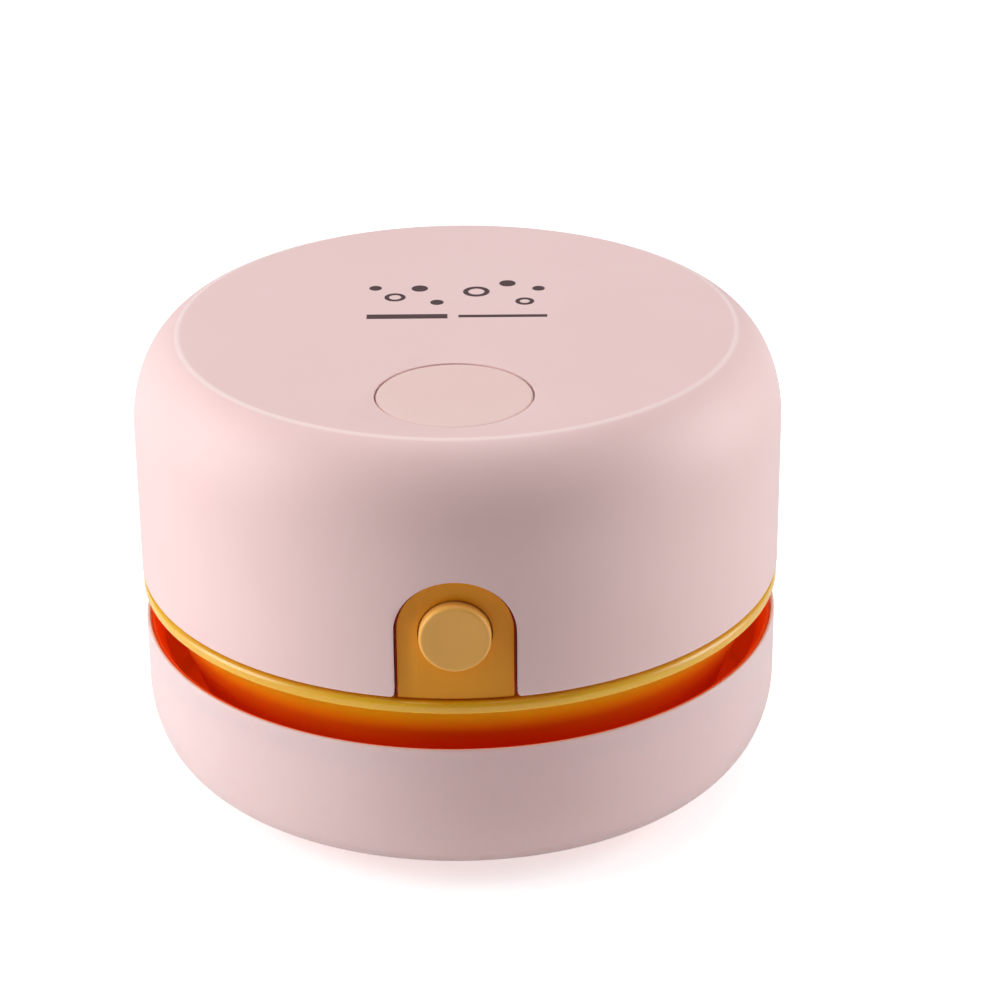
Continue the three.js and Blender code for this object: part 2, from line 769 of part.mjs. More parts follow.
const makeShaft = () => rod(shaftRadius, 0, 0, bladeBottom - fitGap, shaftTop);

// Backward curved blades: the middle line is a spiral whose angle grows with the radius
function makeBlade() {
  const sweep = bladeSweepDegrees * degrees;
  const tip = impellerRadius - half * bladeWall;
  const root = bladeRootRadius;
  const front = [];
  const back = [];
  for (let i = 0; i <= bladeSteps; i += 1) {
    const radius = root + (tip - root) * i / bladeSteps;
    const angle = -sweep * Math.log(radius / root) / Math.log(tip / root);
    const spread = half * bladeWall / radius;
    front.push([radius * Math.cos(angle + spread), radius * Math.sin(angle + spread)]);
    back.push([radius * Math.cos(angle - spread), radius * Math.sin(angle - spread)]);
  }
  return raised([...back, ...front.reverse()], bladeBottom, bladeTop + half * impellerPlate);
}

function makeImpeller() {
  const plate = disc(impellerRadius, bladeTop, bladeTop + impellerPlate, midRoundSides);
  const hub = disc(impellerHubRadius, bladeBottom, bladeTop + impellerPlate, smallRoundSides);
  const blade = makeBlade();
  const blades = [];
  for (let i = 0; i < bladeCount; i += 1) {
    blades.push(turnedRound(blade, 2 * Math.PI * i / bladeCount));
  }
  const bore = rod(shaftRadius + fitGap, 0, 0, bladeBottom - overrun, bladeTop + impellerPlate + overrun);
  return cut(joined([plate, hub, ...blades]), [bore]);
}

function spokes(count, width, reach, low, high) {
  const arms = [];
  for (let i = 0; i < count; i += 1) {
    arms.push(turnedRound(block(0, reach, -half * width, half * width, low, high), 2 * Math.PI * i / count));
  }
  return arms;
}

function makeFanCover() {
  const high = columnBottom - fitGap;
  const low = high - fanCoverThickness;
  return joined([
    tube(fanInletRadius, columnRadius + columnWall, low, high, midRoundSides),
    ...spokes(fanSpokeCount, fanSpokeWidth, fanInletRadius + fanSpokeWidth, low, high),
    disc(fanSpokeHubRadius, low, high, smallRoundSides),
  ]);
}

// Filter

const filterTop = floorBottom - fitGap;
const filterBottom = filterTop - filterDepth;

function makeFilterFrame() {
  const flange = filterRadius + filterFlangeReach;
  const inner = filterRadius - filterWall;
  const basket = turned([
    [inner, filterBottom],
    [filterRadius, filterBottom],
    [filterRadius, filterTop - filterFlangeWall],
    [flange, filterTop - filterFlangeWall],
    [flange, filterTop],
    [inner, filterTop],
  ], midRoundSides);
  const floorHigh = filterBottom + filterFloor;
  const floor = [
    tube(filterRadius - filterRingWidth, filterRadius - half * filterWall, filterBottom, floorHigh, midRoundSides),
    ...spokes(filterSpokeCount, filterSpokeWidth, filterRadius - half * filterRingWidth, filterBottom, floorHigh),
    disc(filterHubRadius, filterBottom, floorHigh, smallRoundSides),
  ];
  const windows = [];
  const low = floorHigh + filterFloor;
  for (let i = 0; i < filterWindowCount; i += 1) {
    const hole = block(inner - overrun, filterRadius + overrun, -half * filterWindowWidth, half * filterWindowWidth,
      low, low + filterWindowHeight);
    windows.push(turnedRound(hole, 2 * Math.PI * (i + half) / filterWindowCount));
  }
  return cut(joined([basket, ...floor]), windows);
}

function makeFilterPad() {
  const low = filterBottom + filterFloor + fitGap;
  return disc(filterRadius - filterWall - 2 * fitGap, low, low + filterPadThickness, midRoundSides);
}

// Cells and contacts; each is drawn with its plus end to the back, then turned for the other side

function placedOnSide(body, side) {
  const turnedBody = side > 0 ? body : turnedRound(body, Math.PI);
  return turnedBody.translate([side * cellPlaceX, 0, cellHeight]);
}

function makeCell(side) {
  const low = -cavityHalfLength + springSpace;
  const shoulderEnd = low + cellLength;
  const body = crossRod(cellRadius, 0, 0, low, shoulderEnd, midRoundSides)
    .add(crossRod(nubRadius, 0, 0, shoulderEnd - overrun, shoulderEnd + nubLength));
  return placedOnSide(body, side);
}

function makeContactPlate(side) {
  const y = cavityHalfLength - fitGap - contactWall;
  const reach = half * contactWidth;
  return placedOnSide(block(-reach, reach, y, y + contactWall, -reach, reach), side);
}

function makeContactSpring(side, name) {
  const front = -cavityHalfLength + fitGap + half * springWire;
  const back = -cavityHalfLength + springSpace - fitGap - half * springWire;
  const spring = coil(name, contactSpringRadius, contactSpringRadius - springWire, contactSpringTurns, front, back);
  return placedOnSide(spring, side);
}

// Dust cup

function cupCurve() {
  const rise = cupBandBottom - cupBottom;
  const points = cupOutlineShares.map(([out, up]) => new THREE.Vector2(cupRimRadius * out, cupBottom + rise * up));
  return new THREE.SplineCurve(points).getPoints(cupCurveSteps).map((point) => [point.x, point.y]);
}

// The same curve moved inwards by the wall, kept between the floor and the straight mouth
function cupInnerCurve(outer) {
  const inner = [];
  for (let i = 1; i < outer.length - 1; i += 1) {
    const [radius, height] = outer[i];
    const along = new THREE.Vector2(outer[i + 1][0] - outer[i - 1][0], outer[i + 1][1] - outer[i - 1][1]).normalize();
    const point = [radius + along.y * cupWall, height - along.x * cupWall];
    if (point[0] < cupMouthRadius && point[1] > cupFloorTop) inner.push(point);
  }
  return inner;
}

function cupScrewPlaces() {
  const places = [];
  for (let i = 0; i < cupScrewCount; i += 1) {
    const angle = 2 * Math.PI * (i + half) / cupScrewCount;
    places.push([cupScrewCircle * Math.cos(angle), cupScrewCircle * Math.sin(angle)]);
  }
  return places;
}

function makeDustCup() {
  const outer = cupCurve();
  const inner = cupInnerCurve(outer);
  const floorRadius = inner[inner.length - 1][0] - cupWall;
  const grooveBottom = cupRimTopHeight - sealGrooveDepth;
  const hole = pipeRadius + fitGap;
  const cup = turned([
    [hole, cupBottom],
    ...outer.slice().reverse(),
    [cupRimRadius, cupRimTopHeight - cupBandRound],
    [cupRimRadius - cupBandRound, cupRimTopHeight],
    [sealGrooveOuter, cupRimTopHeight],
    [sealGrooveOuter, grooveBottom],
    [sealGrooveRadius, grooveBottom],
    [sealGrooveRadius, cupRimTopHeight],
    [cupMouthRadius, cupRimTopHeight],
    [cupMouthRadius, cupRimTopHeight - cupLandDepth],
    ...inner,
    [floorRadius, cupFloorTop],
    [hole, cupFloorTop],
  ]);
  const bosses = cupScrewPlaces().map(([x, y]) => rod(cupBossRadius, x, y, cupBottom + half * cupFloor, cupFloorTop + cupBossRise));
  const holes = cupScrewPlaces().map(([x, y]) => rod(screwRadius + fitGap, x, y, cupBottom - overrun, cupFloorTop + half * cupBossRise + fitGap));
  const ledge = cupRimTopHeight - pocketDrop;
  holes.push(block(-pocketHalfWidth, pocketHalfWidth, -cupMouthRadius - pocketDepth, -cupMouthRadius + pocketDepth,
    ledge - pocketHeight, ledge));
  return cut(joined([cup, ...bosses]), holes);
}

// The pipe stands in the hole in the cup's floor, on a flange
function makeInletPipe() {
  const low = cupFloorTop + fitGap;
  return turned([
    [inletRadius, cupBottom],
    [pipeRadius, cupBottom],
    [pipeRadius, low],
    [pipeRadius + pipeFlangeReach, low],
    [pipeRadius + pipeFlangeReach, low + pipeFlangeWall],
    [pipeRadius, low + pipeFlangeWall],
    [pipeRadius, pipeTop],
    [inletRadius, pipeTop],
  ], midRoundSides);
}

function makeRimSeal() {
  const low = cupRimTopHeight - sealGrooveDepth + fitGap;
  const inner = sealGrooveRadius + fitGap;
  return tube(inner, inner + sealWidth, low, cupRimTopHeight + sealProud);
}

// Base ring, base plate and brushes

function roundedCorner(centreRadius, centreHeight, width, height, fromDegrees, toDegrees, steps) {
  const points = [];
  for (let i = 0; i <= steps; i += 1) {
    const angle = (fromDegrees + (toDegrees - fromDegrees) * i / steps) * degrees;
    points.push([centreRadius + width * Math.cos(angle), centreHeight + height * Math.sin(angle)]);
  }
  return points;
}

// The bottom corner of the ring and of what lies in it: quarter ellipses about one middle
const footArc = (inset, fromDegrees, toDegrees) => roundedCorner(
  footCentreRadius, footCentreHeight, ringFootWidth - inset, ringFootHeight - inset, fromDegrees, toDegrees, footSteps);

function makeBaseRing() {
  const flangeEdge = footCentreRadius - ringFlangeReach;
  return turned([
    [flangeEdge, brushStand],
    ...footArc(0, -90, 0),
    ...roundedCorner(ringRadius - ringLipRound, ringTopHeight - ringLipRound, ringLipRound, ringLipRound, 0, 90, roundSteps),
    [ringInnerRadius, ringTopHeight],
    ...footArc(ringWall, 0, -90),
    [flangeEdge, ringFlangeTop],
  ]);
}

function brushArc(inner, outer, spread, low, high) {
  const front = [];
  const back = [];
  for (let i = 0; i <= brushArcSteps; i += 1) {
    const angle = spread * (i / brushArcSteps - half);
    front.push([outer * Math.cos(angle), outer * Math.sin(angle)]);
    back.push([inner * Math.cos(angle), inner * Math.sin(angle)]);
  }
  return raised([...front, ...back.reverse()], low, high);
}

const brushSpread = 2 * Math.PI / brushCount - brushGapDegrees * degrees;
const brushAngle = (i) => 2 * Math.PI * i / brushCount + Math.PI / 2;

function makeBasePlate() {
  const outer = ringInnerRadius - fitGap;
  const inner = outer - linerWall;
  const dish = turned([
    [inletRadius, plateBottom - nozzleDrop],
    [inletRadius + nozzleWall, plateBottom - nozzleDrop],
    [inletRadius + nozzleWall, plateBottom],
    ...footArc(ringWall + fitGap, -90, 0),
    [outer, ringTopHeight - linerDrop],
    [inner, ringTopHeight - linerDrop],
    [inner, plateTop + linerWall],
    [inner - linerWall, plateTop],
    [inletRadius, plateTop],
  ]);
  const sideGap = fitGap / brushInnerRadius;
  const groove = brushArc(brushInnerRadius - fitGap, brushOuterRadius + fitGap, brushSpread + 2 * sideGap,
    plateBottom - overrun, plateBottom + brushSeat);
  const holes = cupScrewPlaces().map(([x, y]) => rod(screwRadius + fitGap, x, y, plateBottom - overrun, plateTop + overrun));
  for (let i = 0; i < brushCount; i += 1) holes.push(turnedRound(groove, brushAngle(i)));
  return cut(dish, holes);
}

// One bristle: a thin prism from the backing down to the desk, leaning a little at its tip
function bristlePoints(radius, angle, lean, top) {
  const high = [];
  const low = [];
  const tilt = lean * bristleLean;
  for (let i = 0; i < bristleSides; i += 1) {
    const turn = 2 * Math.PI * i / bristleSides;
    const out = bristleRadius * Math.cos(turn);
    const side = bristleRadius * Math.sin(turn);
    const place = (shift, z) => new THREE.Vector3(
      (radius + out + shift) * Math.cos(angle) - side * Math.sin(angle),
      (radius + out + shift) * Math.sin(angle) + side * Math.cos(angle),
      z,
    );
    high.push(place(0, top));
    low.push(place(tilt, 0));
  }
  return [high, low];
}

function bristleGeometry(radius, angle, lean, top) {
  const [high, low] = bristlePoints(radius, angle, lean, top);
  const corners = [...high, ...low].flatMap((point) => point.toArray());
  const n = bristleSides;
  const faces = [];
  for (let i = 0; i < n; i += 1) {
    const next = (i + 1) % n;
    faces.push(i, i + n, next, next, i + n, next + n);
    if (i > 0 && i < n - 1) {
      faces.push(0, i, i + 1, n, n + i + 1, n + i);
    }
  }
  const geometry = new THREE.BufferGeometry();
  geometry.setAttribute('position', new THREE.Float32BufferAttribute(corners, 3));
  geometry.setIndex(faces);
  return geometry;
}

function makeBrush(index) {
  const backingTop = plateBottom + brushSeat - fitGap;
  const backingBottom = backingTop - brushBacking;
  const backing = brushArc(brushInnerRadius, brushOuterRadius, brushSpread, backingBottom, backingTop);
  const strands = [];
  const rowStep = (brushOuterRadius - brushInnerRadius) / (bristleRowCount + 1);
  const backingMiddle = backingBottom + half * brushBacking;
  for (let row = 0; row < bristleRowCount; row += 1) {
    const radius = brushInnerRadius + rowStep * (row + 1);
    for (let i = 0; i < bristlesPerRow; i += 1) {
      const stagger = (1 + 2 * (row % 2)) / 4;
      const angle = brushSpread * ((i + stagger) / bristlesPerRow - half);
      const lean = half * (row - 1 + Math.sin(bristleWave * i + row));
      strands.push(bristleGeometry(radius, angle, lean, backingMiddle));
    }
  }
  const tuft = solid(mergeGeometries(strands));
  return turnedRound(backing.add(tuft), brushAngle(index));
}

// Finishes: colour, roughness and metalness
const finishes = {
  pinkShell: [0xe9cfcd, 0.42, 0],
  pinkCap: [0xe6cfc9, 0.45, 0],
  pinkRing: [0xead2d0, 0.42, 0],
  amberCup: [0xe2a23a, 0.38, 0],
  amberTab: [0xc98a2b, 0.42, 0],
  orangeLiner: [0xd8480a, 0.45, 0],
  creamButton: [0xdcae72, 0.4, 0],
  chassisPlastic: [0xd9953a, 0.5, 0],
  greyRubber: [0x4a4644, 0.8, 0],
  nylon: [0xe9e4dc, 0.5, 0],
  steel: [0xb9bcc0, 0.3, 1],
  springSteel: [0xc6c9cc, 0.25, 1],
  copperPlate: [0xc9b27a, 0.3, 1],
  blackPlastic: [0x2b2b2d, 0.5, 0],
  whitePlastic: [0xe8e6e0, 0.5, 0],
  board: [0x2f6b4a, 0.5, 0],
  cellWrap: [0x3b4a63, 0.35, 0.2],
  filterCloth: [0xf1eee6, 0.95, 0],
};

function named(name, body, finish) {
  const [color, roughness, metalness] = finishes[finish];
  const material = new THREE.MeshStandardMaterial({ color, roughness, metalness });
  material.name = finish;
  const mesh = new THREE.Mesh(geometryOf(body), material);
  mesh.name = name;
  return mesh;
}

function group(meshes) {
  const holder = new THREE.Group();
  holder.add(...meshes);
  return holder;
}

const dustUnit = group([
  named('dust_cup', makeDustCup(), 'amberCup'),
  named('inlet_pipe', makeInletPipe(), 'amberCup'),
  named('rim_seal', makeRimSeal(), 'greyRubber'),
  named('base_ring', makeBaseRing(), 'pinkRing'),
  named('base_plate', makeBasePlate(), 'orangeLiner'),
  ...Array.from({ length: brushCount }, (_, i) => named(`brush_${i + 1}`, makeBrush(i), 'nylon')),
  ...cupScrewPlaces().map(([x, y], i) => {
    const head = plateBottom - fitGap - screwHeadHeight;
    const length = cupFloorTop + half * cupBossRise - head;
    return named(`base_screw_${i + 1}`, makeScrew(x, y, head, length), 'steel');
  }),
]);

const upperUnit = group([
  named('top_shell', makeTopShell(), 'pinkShell'),
  named('chassis', makeChassis(), 'chassisPlastic'),
  named('latch_housing', makeLatchHousing(), 'amberTab'),
  named('latch_spring', makeLatchSpring(), 'springSteel'),
  named('fan_cover', makeFanCover(), 'whitePlastic'),
  named('filter_frame', makeFilterFrame(), 'whitePlastic'),
  named('filter_pad', makeFilterPad(), 'filterCloth'),
  named('motor_can', makeMotorCan(), 'steel'),
  named('motor_end_cap', makeMotorCap(), 'blackPlastic'),
  named('switch_board', makeBoard(), 'board'),
  named('switch_body', makeSwitchBody(), 'blackPlastic'),
  named('battery_left', makeCell(-1), 'cellWrap'),
  named('battery_right', makeCell(1), 'cellWrap'),
  named('contact_plate_left', makeContactPlate(-1), 'copperPlate'),
  named('contact_plate_right', makeContactPlate(1), 'copperPlate'),
  named('contact_spring_left', makeContactSpring(-1, 'contact_spring_left'), 'springSteel'),
  named('contact_spring_right', makeContactSpring(1, 'contact_spring_right'), 'springSteel'),
  ...bossPlaces().map(([x, y], i) => {
    const head = floorBottom - fitGap - screwHeadHeight;
    const length = floorTop + screwDepth - fitGap - head;
    return named(`chassis_screw_${i + 1}`, makeScrew(x, y, head, length), 'steel');
  }),
]);

const powerGroup = group([
  named('power_button', makePowerButton(), 'pinkCap'),
  named('switch_plunger', makePlunger(), 'whitePlastic'),
]);

const releaseGroup = group([
  named('release_button', makeReleaseButton(), 'creamButton'),
  named('latch_slider', makeLatchSlider(), 'whitePlastic'),
]);

const fanGroup = group([
  named('impeller', makeImpeller(), 'whitePlastic'),
  named('motor_shaft', makeShaft(), 'steel'),
]);

upperUnit.add(powerGroup, releaseGroup, fanGroup);

export default group([dustUnit, upperUnit]);
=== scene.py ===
import json
import math

import bpy
from mathutils import Matrix, Vector

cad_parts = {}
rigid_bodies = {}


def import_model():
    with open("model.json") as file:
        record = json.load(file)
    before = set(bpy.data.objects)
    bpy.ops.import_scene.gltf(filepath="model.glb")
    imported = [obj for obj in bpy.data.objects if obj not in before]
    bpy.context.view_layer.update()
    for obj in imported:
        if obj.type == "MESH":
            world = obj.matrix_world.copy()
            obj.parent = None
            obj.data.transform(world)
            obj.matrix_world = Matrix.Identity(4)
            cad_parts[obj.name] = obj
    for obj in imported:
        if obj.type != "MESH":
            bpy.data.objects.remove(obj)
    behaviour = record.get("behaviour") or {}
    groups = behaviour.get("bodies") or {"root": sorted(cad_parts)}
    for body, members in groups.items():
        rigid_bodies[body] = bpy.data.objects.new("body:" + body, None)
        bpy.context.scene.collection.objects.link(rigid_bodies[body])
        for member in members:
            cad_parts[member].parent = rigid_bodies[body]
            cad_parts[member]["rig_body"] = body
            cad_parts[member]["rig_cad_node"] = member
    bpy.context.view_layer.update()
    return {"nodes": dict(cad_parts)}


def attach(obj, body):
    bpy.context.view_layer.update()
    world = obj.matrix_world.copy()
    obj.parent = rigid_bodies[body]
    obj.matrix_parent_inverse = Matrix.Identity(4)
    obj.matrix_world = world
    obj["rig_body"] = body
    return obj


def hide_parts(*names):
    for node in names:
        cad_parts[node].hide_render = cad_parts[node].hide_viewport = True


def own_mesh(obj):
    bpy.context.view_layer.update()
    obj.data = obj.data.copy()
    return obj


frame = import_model()
mm = 0.001
mergeWithin = 0.0005 * mm
overcut = 1  # how far a cutting tool goes past the face that it cuts


# Selecting, drawing outlines and shaping. Sizes below are in millimetres.

def clearSelection():
    active = bpy.context.view_layer.objects.active
    if active and active.mode != "OBJECT":
        bpy.ops.object.mode_set(mode="OBJECT")
    bpy.ops.object.select_all(action="DESELECT")


def pick(piece):
    clearSelection()
    piece.select_set(True)
    bpy.context.view_layer.objects.active = piece


def drawOutline(name, points):
    # a plane is merged to one vertex, which is then extruded from point to point
    clearSelection()
    bpy.ops.mesh.primitive_plane_add(size=mm, location=(0, 0, 0))
    piece = bpy.context.object
    piece.name = name
    bpy.ops.object.mode_set(mode="EDIT")
    bpy.ops.mesh.merge(type="CENTER")
    bpy.ops.transform.translate(value=Vector(points[0]) * mm)
    for start, end in zip(points, points[1:]):
        step = (Vector(end) - Vector(start)) * mm
        bpy.ops.mesh.extrude_vertices_move(TRANSFORM_OT_translate={"value": step})
    bpy.ops.mesh.select_all(action="SELECT")
    return piece


def tidyMesh():
    bpy.ops.mesh.select_all(action="SELECT")
    bpy.ops.mesh.remove_doubles(threshold=mergeWithin)
    bpy.ops.mesh.normals_make_consistent(inside=False)
    bpy.ops.object.mode_set(mode="OBJECT")


def spinProfile(name, profile, steps):
    # a profile of [radius, height] points, closed where it is off the axis
    points = [(radius, 0, height) for radius, height in profile]
    if profile[0][0] > 0:
        points.append(points[0])
    piece = drawOutline(name, points)
    bpy.ops.mesh.spin(steps=steps, angle=math.tau, center=(0, 0, 0), axis=(0, 0, 1))
    tidyMesh()
    return piece


def drawPrism(name, points, push):
    piece = drawOutline(name, points + points[:1])
    bpy.ops.mesh.remove_doubles(threshold=mergeWithin)
    bpy.ops.mesh.edge_face_add()
    bpy.ops.mesh.extrude_region_move(TRANSFORM_OT_translate={"value": Vector(push) * mm})
    tidyMesh()
    return piece


def addBox(low, high):
    clearSelection()
    middle = [(a + b) / 2 * mm for a, b in zip(low, high)]
    size = [(b - a) * mm for a, b in zip(low, high)]
    bpy.ops.mesh.primitive_cube_add(size=1, location=middle, scale=size)
    return bpy.context.object


def addRod(radius, x, y, low, high, sides=48):
    clearSelection()
    bpy.ops.mesh.primitive_cylinder_add(
        vertices=sides, radius=radius * mm, depth=(high - low) * mm,
        location=(x * mm, y * mm, (low + high) / 2 * mm),
    )
    return bpy.context.object


def addCrossRod(radius, x, z, front, back, sides=48):
    clearSelection()
    bpy.ops.mesh.primitive_cylinder_add(
        vertices=sides, radius=radius * mm, depth=(back - front) * mm,
        location=(x * mm, (front + back) / 2 * mm, z * mm), rotation=(math.pi / 2, 0, 0),
    )
    return bpy.context.object


def settleTransform(piece):
    pick(piece)
    bpy.ops.object.transform_apply(location=True, rotation=True, scale=True)


def combine(piece, tool, operation):
    settleTransform(tool)
    pick(piece)
    bpy.ops.object.modifier_add(type="BOOLEAN")
    change = piece.modifiers[-1]
    change.operation = operation
    change.solver = "EXACT"
    change.object = tool
    bpy.ops.object.modifier_apply(modifier=change.name)
    bpy.data.objects.remove(tool, do_unlink=True)


def softenEdges(piece, width, segments=3, angle=40):
    pick(piece)
    bpy.ops.object.modifier_add(type="BEVEL")
    change = piece.modifiers[-1]
    change.limit_method = "ANGLE"
    change.angle_limit = math.radians(angle)
    change.width = width * mm
    change.segments = segments
    bpy.ops.object.modifier_apply(modifier=change.name)


def finishPiece(piece, material, body, nodes, angle=32):
    settleTransform(piece)
    bpy.ops.object.shade_smooth_by_angle(angle=math.radians(angle))
    piece.data.materials.clear()
    piece.data.materials.append(material)
    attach(piece, body)
    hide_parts(*nodes)
    return piece


def arc(centre, radius, start, end, steps):
    points = []
    for i in range(steps + 1):
        turn = math.radians(start + (end - start) * i / steps)
        points.append((centre[0] + radius * math.cos(turn), centre[1] + radius * math.sin(turn)))
    return points


def between(start, end, steps):
    # points on a straight line, without its first one
    return [
        tuple(a + (b - a) * i / steps for a, b in zip(start, end))
        for i in range(1, steps + 1)
    ]


# Node groups that several materials share

def newGroup(name, inputs, outputs):
    group = bpy.data.node_groups.new(name, "ShaderNodeTree")
    for label, value in inputs:
        socket = group.interface.new_socket(label, in_out="INPUT", socket_type="NodeSocketFloat")
        socket.default_value = value
    for label, kind in outputs:
        group.interface.new_socket(label, in_out="OUTPUT", socket_type=kind)
    start = group.nodes.new("NodeGroupInput")
    end = group.nodes.new("NodeGroupOutput")
    return group, start, end


def setInputs(node, values):
    for label, value in values.items():
        node.inputs[label].default_value = value


def addNode(tree, kind, inputs=None, **settings):
    node = tree.nodes.new("ShaderNode" + kind)
    for key, value in settings.items():
        setattr(node, key, value)
    setInputs(node, inputs or {})
    return node


def connect(tree, *wires):
    # each wire is a node, its output, the next node and its input
    for source, output, target, entry in wires:
        tree.links.new(source.outputs[output], target.inputs[entry])


def makeMouldGrain():
    # fine spark texture and broad, faint flow patches of moulded plastic
    group, start, end = newGroup(
        "mouldGrain",
        [("Grain Scale", 9000.0), ("Patch Scale", 40.0)],
        [("Height", "NodeSocketFloat"), ("Patches", "NodeSocketFloat")],
    )
    place = addNode(group, "TexCoord")
    grain = addNode(group, "TexNoise", {"Detail": 3, "Roughness": 0.6})
    patches = addNode(group, "TexNoise", {"Detail": 2})
    soft = addNode(group, "MapRange", {"From Min": 0.3, "From Max": 0.7}, interpolation_type="SMOOTHSTEP")
    connect(
        group,
        (place, "Object", grain, "Vector"), (place, "Object", patches, "Vector"),
        (start, "Grain Scale", grain, "Scale"), (start, "Patch Scale", patches, "Scale"),
        (patches, "Fac", soft, "Value"), (grain, "Fac", end, "Height"),
        (soft, "Result", end, "Patches"),
    )
    return group


def makeSpecks():
    # sparse small dots, for fine dust and mineral specks
    group, start, end = newGroup(
        "specks",
        [("Scale", 900.0), ("Size", 0.12)],
        [("Mask", "NodeSocketFloat")],
    )
    place = addNode(group, "TexCoord")
    cells = addNode(group, "TexVoronoi")
    near = addNode(group, "Math", operation="LESS_THAN")
    thin = addNode(group, "TexNoise", {"Scale": 260})
    rare = addNode(group, "Math", {1: 0.62}, operation="GREATER_THAN")
    both = addNode(group, "Math", operation="MULTIPLY")
    connect(
        group,
        (place, "Object", cells, "Vector"), (place, "Object", thin, "Vector"),
        (start, "Scale", cells, "Scale"), (cells, "Distance", near, 0), (start, "Size", near, 1),
        (thin, "Fac", rare, 0), (near, 0, both, 0), (rare, 0, both, 1), (both, 0, end, "Mask"),
    )
    return group


def makeHairlines():
    # fine lines that run round the piece, as on rolled or turned metal
    group, start, end = newGroup(
        "hairlines",
        [("Along X", 60.0), ("Along Y", 60.0), ("Along Z", 6000.0)],
        [("Height", "NodeSocketFloat")],
    )
    place = addNode(group, "TexCoord")
    stretch = addNode(group, "CombineXYZ")
    scaled = addNode(group, "VectorMath", operation="MULTIPLY")
    lines = addNode(group, "TexNoise", {"Scale": 1, "Detail": 4})
    connect(
        group,
        (start, "Along X", stretch, "X"), (start, "Along Y", stretch, "Y"), (start, "Along Z", stretch, "Z"),
        (place, "Object", scaled, 0), (stretch, "Vector", scaled, 1),
        (scaled, "Vector", lines, "Vector"), (lines, "Fac", end, "Height"),
    )
    return group


mouldGrain = makeMouldGrain()
specks = makeSpecks()
hairlines = makeHairlines()


def srgb(red, green, blue):
    # a colour as seen on screen, 0 to 255, made linear for the shader
    def linear(value):
        value = value / 255
        return value / 12.92 if value <= 0.04045 else ((value + 0.055) / 1.055) ** 2.4
    return (linear(red), linear(green), linear(blue), 1)


def newMaterial(name):
    material = bpy.data.materials.new(name)
    material.use_nodes = True
    shader = material.node_tree.nodes["Principled BSDF"]
    return material, material.node_tree, shader


def useGroup(tree, group, **values):
    node = addNode(tree, "Group", node_tree=group)
    for key, value in values.items():
        node.inputs[key.replace("_", " ")].default_value = value
    return node


def dress(tree, shader, colour, rough=None, bump=None):
    # colour, gloss and relief of a surface, as far as it has them
    connect(tree, (colour, "Result", shader, "Base Color"))
    if rough:
        connect(tree, (rough, "Result", shader, "Roughness"))
    if bump:
        connect(tree, (bump, "Normal", shader, "Normal"))


def mixColours(tree, first, second, factor):
    mix = addNode(tree, "Mix", {"A": first, "B": second}, data_type="RGBA")
    tree.links.new(factor, mix.inputs["Factor"])
    return mix


def rangeOf(tree, value, low, high):
    node = addNode(tree, "MapRange", {"To Min": low, "To Max": high})
    tree.links.new(value, node.inputs["Value"])
    return node


def bumpFrom(tree, height, distance, strength=1.0):
    bump = addNode(tree, "Bump", {"Distance": distance * mm, "Strength": strength})
    tree.links.new(height, bump.inputs["Height"])
    return bump


def plastic(name, look):
    # satin moulded plastic: two near colours, two near roughnesses and a fine grain
    material, tree, shader = newMaterial(name)
    grain = useGroup(tree, mouldGrain, Grain_Scale=look["grain"], Patch_Scale=look["patch"])
    colour = mixColours(tree, look["colour"], look["second"], grain.outputs["Patches"])
    rough = rangeOf(tree, grain.outputs["Patches"], *look["rough"])
    bump = bumpFrom(tree, grain.outputs["Height"], look["depth"], look["strength"])
    dress(tree, shader, colour, rough, bump)
    setInputs(shader, {
        "Specular IOR Level": look.get("shine", 0.5), "Subsurface Weight": look.get("glow", 0),
        "Subsurface Radius": look.get("reach", (0.002, 0.001, 0.001)), "Subsurface Scale": 1,
        "Coat Weight": look.get("coat", 0), "Coat Roughness": look.get("coatRough", 0.2),
        "Sheen Weight": look.get("sheen", 0), "Sheen Roughness": 0.45,
    })
    if "through" in look:
        # painted glow: an emission in the plastic's own colour, standing in for light that comes through the
        # thin tinted wall
        tree.links.new(colour.outputs["Result"], shader.inputs["Emission Color"])
        shader.inputs["Emission Strength"].default_value = look["through"]
    return material


pinkShellLook = {
    "colour": srgb(241, 208, 206), "second": srgb(238, 203, 201), "grain": 5200, "patch": 34,
    "rough": (0.5, 0.56), "depth": 0.02, "strength": 0.35, "shine": 0.55, "sheen": 0.3,
}
pinkCapLook = {
    "colour": srgb(241, 207, 201), "second": srgb(238, 202, 196), "grain": 6400, "patch": 60,
    "rough": (0.5, 0.56), "depth": 0.02, "strength": 0.4, "shine": 0.55, "sheen": 0.3,
}
pinkRingLook = {
    "colour": srgb(242, 211, 210), "second": srgb(239, 206, 205), "grain": 5200, "patch": 30,
    "rough": (0.5, 0.56), "depth": 0.02, "strength": 0.35, "shine": 0.55, "sheen": 0.3,
    "glow": 0.4, "reach": (0.003, 0.0015, 0.0012),
}
amberCupLook = {
    "colour": srgb(250, 184, 20), "second": srgb(247, 176, 14), "grain": 7000, "patch": 50,
    "rough": (0.3, 0.38), "depth": 0.015, "strength": 0.25, "shine": 0.5, "coat": 0.7, "coatRough": 0.28,
    "glow": 0.6, "reach": (0.006, 0.003, 0.0006),
}
amberTabLook = {
    "colour": srgb(238, 157, 6), "second": srgb(234, 150, 5), "grain": 6400, "patch": 70,
    "rough": (0.42, 0.48), "depth": 0.018, "strength": 0.35, "shine": 0.35,
}
# the liner glows faintly in its own orange: a painted glow
orangeLinerLook = {
    "colour": srgb(255, 84, 6), "second": srgb(252, 74, 4), "grain": 6000, "patch": 44,
    "rough": (0.4, 0.48), "depth": 0.018, "strength": 0.3, "shine": 0.4,
    "glow": 0.5, "reach": (0.004, 0.0015, 0.0005), "through": 0.12,
}
